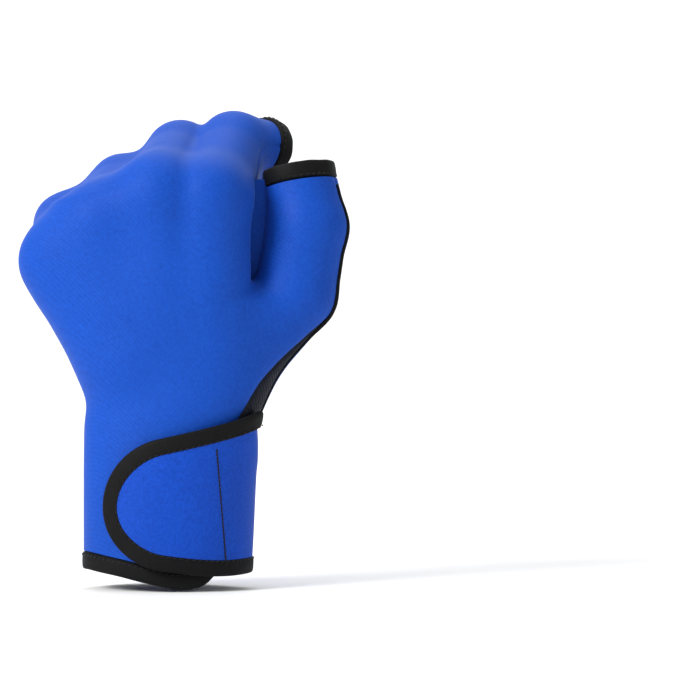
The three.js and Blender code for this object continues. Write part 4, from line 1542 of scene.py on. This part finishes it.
@dataclass
class Studio:
    """A pale floor that curves up behind, soft lights, and the camera, in metres."""

    floor_height: float = -0.0042
    floor_reach: float = 3.0
    back: float = 1.1
    curve: float = 0.5
    distance: float = 1.1
    eye_height: float = 0.0776
    aim_across: float = 0.0635
    view_width: float = 0.2415

    def build(self) -> None:
        """Builds everything round the glove."""
        self.sweep()
        self.light("key", (-1.0, -0.75, 0.85), 0.7, 25.0, (1.0, 0.99, 0.97))
        self.light("fill", (1.0, -0.9, 0.45), 1.0, 2.6, (0.96, 0.98, 1.0))
        self.light("top", (0.05, 0.15, 1.15), 0.8, 1.6, (1.0, 1.0, 1.0))
        self.light("backdrop", (0.0, 0.75, 1.7), 1.5, 15.0, (1.0, 1.0, 1.0), (0.0, 1.5, 0.2))
        self.world()
        self.camera()

    def sweep(self) -> bpy.types.Object:
        """The floor and backdrop as one pale sheet."""
        turns = np.linspace(0, math.pi / 2, 17)
        y = [-self.floor_reach, *(self.back + self.curve * np.sin(turns))]
        z = [0.0, *(self.curve * (1 - np.cos(turns))), 3.0]
        y.append(y[-1])
        points = [(x, yy, zz + self.floor_height) for yy, zz in zip(y, z) for x in (-3.0, 3.0)]
        faces = [(2 * i, 2 * i + 1, 2 * i + 3, 2 * i + 2) for i in range(len(y) - 1)]
        mesh = bpy.data.meshes.new("studio_sweep")
        mesh.from_pydata(points, [], faces)
        pale = bpy.data.materials.new("studio_white")
        pale.use_nodes = True
        shader = pale.node_tree.nodes["Principled BSDF"]
        shader.inputs["Base Color"].default_value = (0.9, 0.9, 0.9, 1)
        shader.inputs["Roughness"].default_value = 0.9
        shader.inputs["Specular IOR Level"].default_value = 0.1
        mesh.materials.append(pale)
        mesh.shade_smooth()
        sweep = bpy.data.objects.new("studio_sweep", mesh)
        bpy.context.scene.collection.objects.link(sweep)
        return sweep

    def light(
        self, name: str, at: tuple, size: float, power: float, colour: tuple, aim_at: tuple | None = None
    ) -> None:
        """Adds one soft light that faces the glove, or another place."""
        data = bpy.data.lights.new(name, "AREA")
        data.shape = "DISK"
        data.size = size
        data.energy = power
        data.color = colour
        lamp = bpy.data.objects.new(name, data)
        lamp.location = at
        aim = Vector(aim_at or (0.0, 0.0, self.eye_height)) - Vector(at)
        lamp.rotation_euler = aim.to_track_quat("-Z", "Y").to_euler()
        bpy.context.scene.collection.objects.link(lamp)

    def world(self) -> None:
        """An even pale surrounding light."""
        world = bpy.data.worlds.new("studio_world")
        world.use_nodes = True
        shade = world.node_tree.nodes["Background"]
        shade.inputs["Color"].default_value = (0.98, 0.99, 1.0, 1)
        shade.inputs["Strength"].default_value = 0.5
        bpy.context.scene.world = world

    def camera(self) -> None:
        """The camera of the picture's view, turned a little towards the frame's middle."""
        data = bpy.data.cameras.new("camera")
        away = math.hypot(self.distance, self.aim_across)
        data.sensor_width = 36.0
        data.lens = data.sensor_width * away / self.view_width
        data.clip_start = 0.01
        data.clip_end = 50.0
        camera = bpy.data.objects.new("camera", data)
        camera.location = (0.0, -self.distance, self.eye_height)
        aim = Vector((self.aim_across, self.distance, 0.0))
        camera.rotation_euler = aim.to_track_quat("-Z", "Y").to_euler()
        bpy.context.scene.collection.objects.link(camera)
        bpy.context.scene.camera = camera


# ---------------------------------------------------------------- the whole


@dataclass(frozen=True)
class SheetCut:
    """What a panel was cut to: width and length in metres, flat area, and how it is held."""

    width: float
    length: float
    area: float
    held: str = "stretched"


SLOTS = {
    "blue_neoprene": ("back_panel", "palm_cloth", "tab_cloth", "index_middle_web", "middle_ring_web",
                      "ring_little_web", "thumb_web"),
    "black_mesh": ("gusset_cloth",),
    "black_binding": ("index_tape", "middle_tape", "ring_tape", "little_tape", "thumb_tape", "cuff_tape",
                      "tab_tape", "thumb_piping", "binding_stitches", "tab_stitches", "tab_seam_stitches"),
}

REPLACED = {
    "back_panel": "dorsal_panel",
    "palm_cloth": "palm_panel",
    "gusset_cloth": "side_gusset",
    "tab_cloth": "wrist_strap",
    "tab_tape": "strap_binding",
    "cuff_tape": "cuff_binding",
    "index_tape": "index_binding",
    "middle_tape": "middle_binding",
    "ring_tape": "ring_binding",
    "little_tape": "little_binding",
    "thumb_tape": "thumb_binding",
}


def attach(pieces: dict[str, bpy.types.Object]) -> None:
    """Ties each piece to the part's body and hides the imported node that it stands for.

    Args:
        pieces: The finished pieces by name.
    """
    slots = {name: slot for slot, names in SLOTS.items() for name in names}
    for name, piece in pieces.items():
        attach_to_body(piece, "root")
        if name in REPLACED:
            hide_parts(REPLACED[name])


def main() -> None:
    """Builds the glove's looks and the studio."""
    logging.basicConfig(level=logging.INFO, format="%(name)s %(message)s")
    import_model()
    Studio().build()
    bpy.context.scene.view_settings.view_transform = "Standard"
    finishes = Finishes.build()
    form = HandForm()
    panels = Panels(form, finishes, cell=1.15)
    pieces = panels.build()
    for web in Webs(form, finishes).build():
        pieces[web.name] = web
    bindings = Bindings(form, finishes)
    pieces.update(bindings.build())
    tab = WristTab(form, finishes)
    pieces.update(tab.build())
    for piece in (
        ThumbPiping(form, finishes).build(),
        bindings.stitches(),
        tab.stitches(),
        tab.slanted_seam(),
    ):
        pieces[piece.name] = piece
    attach(pieces)


if __name__ == "__main__":
    main()
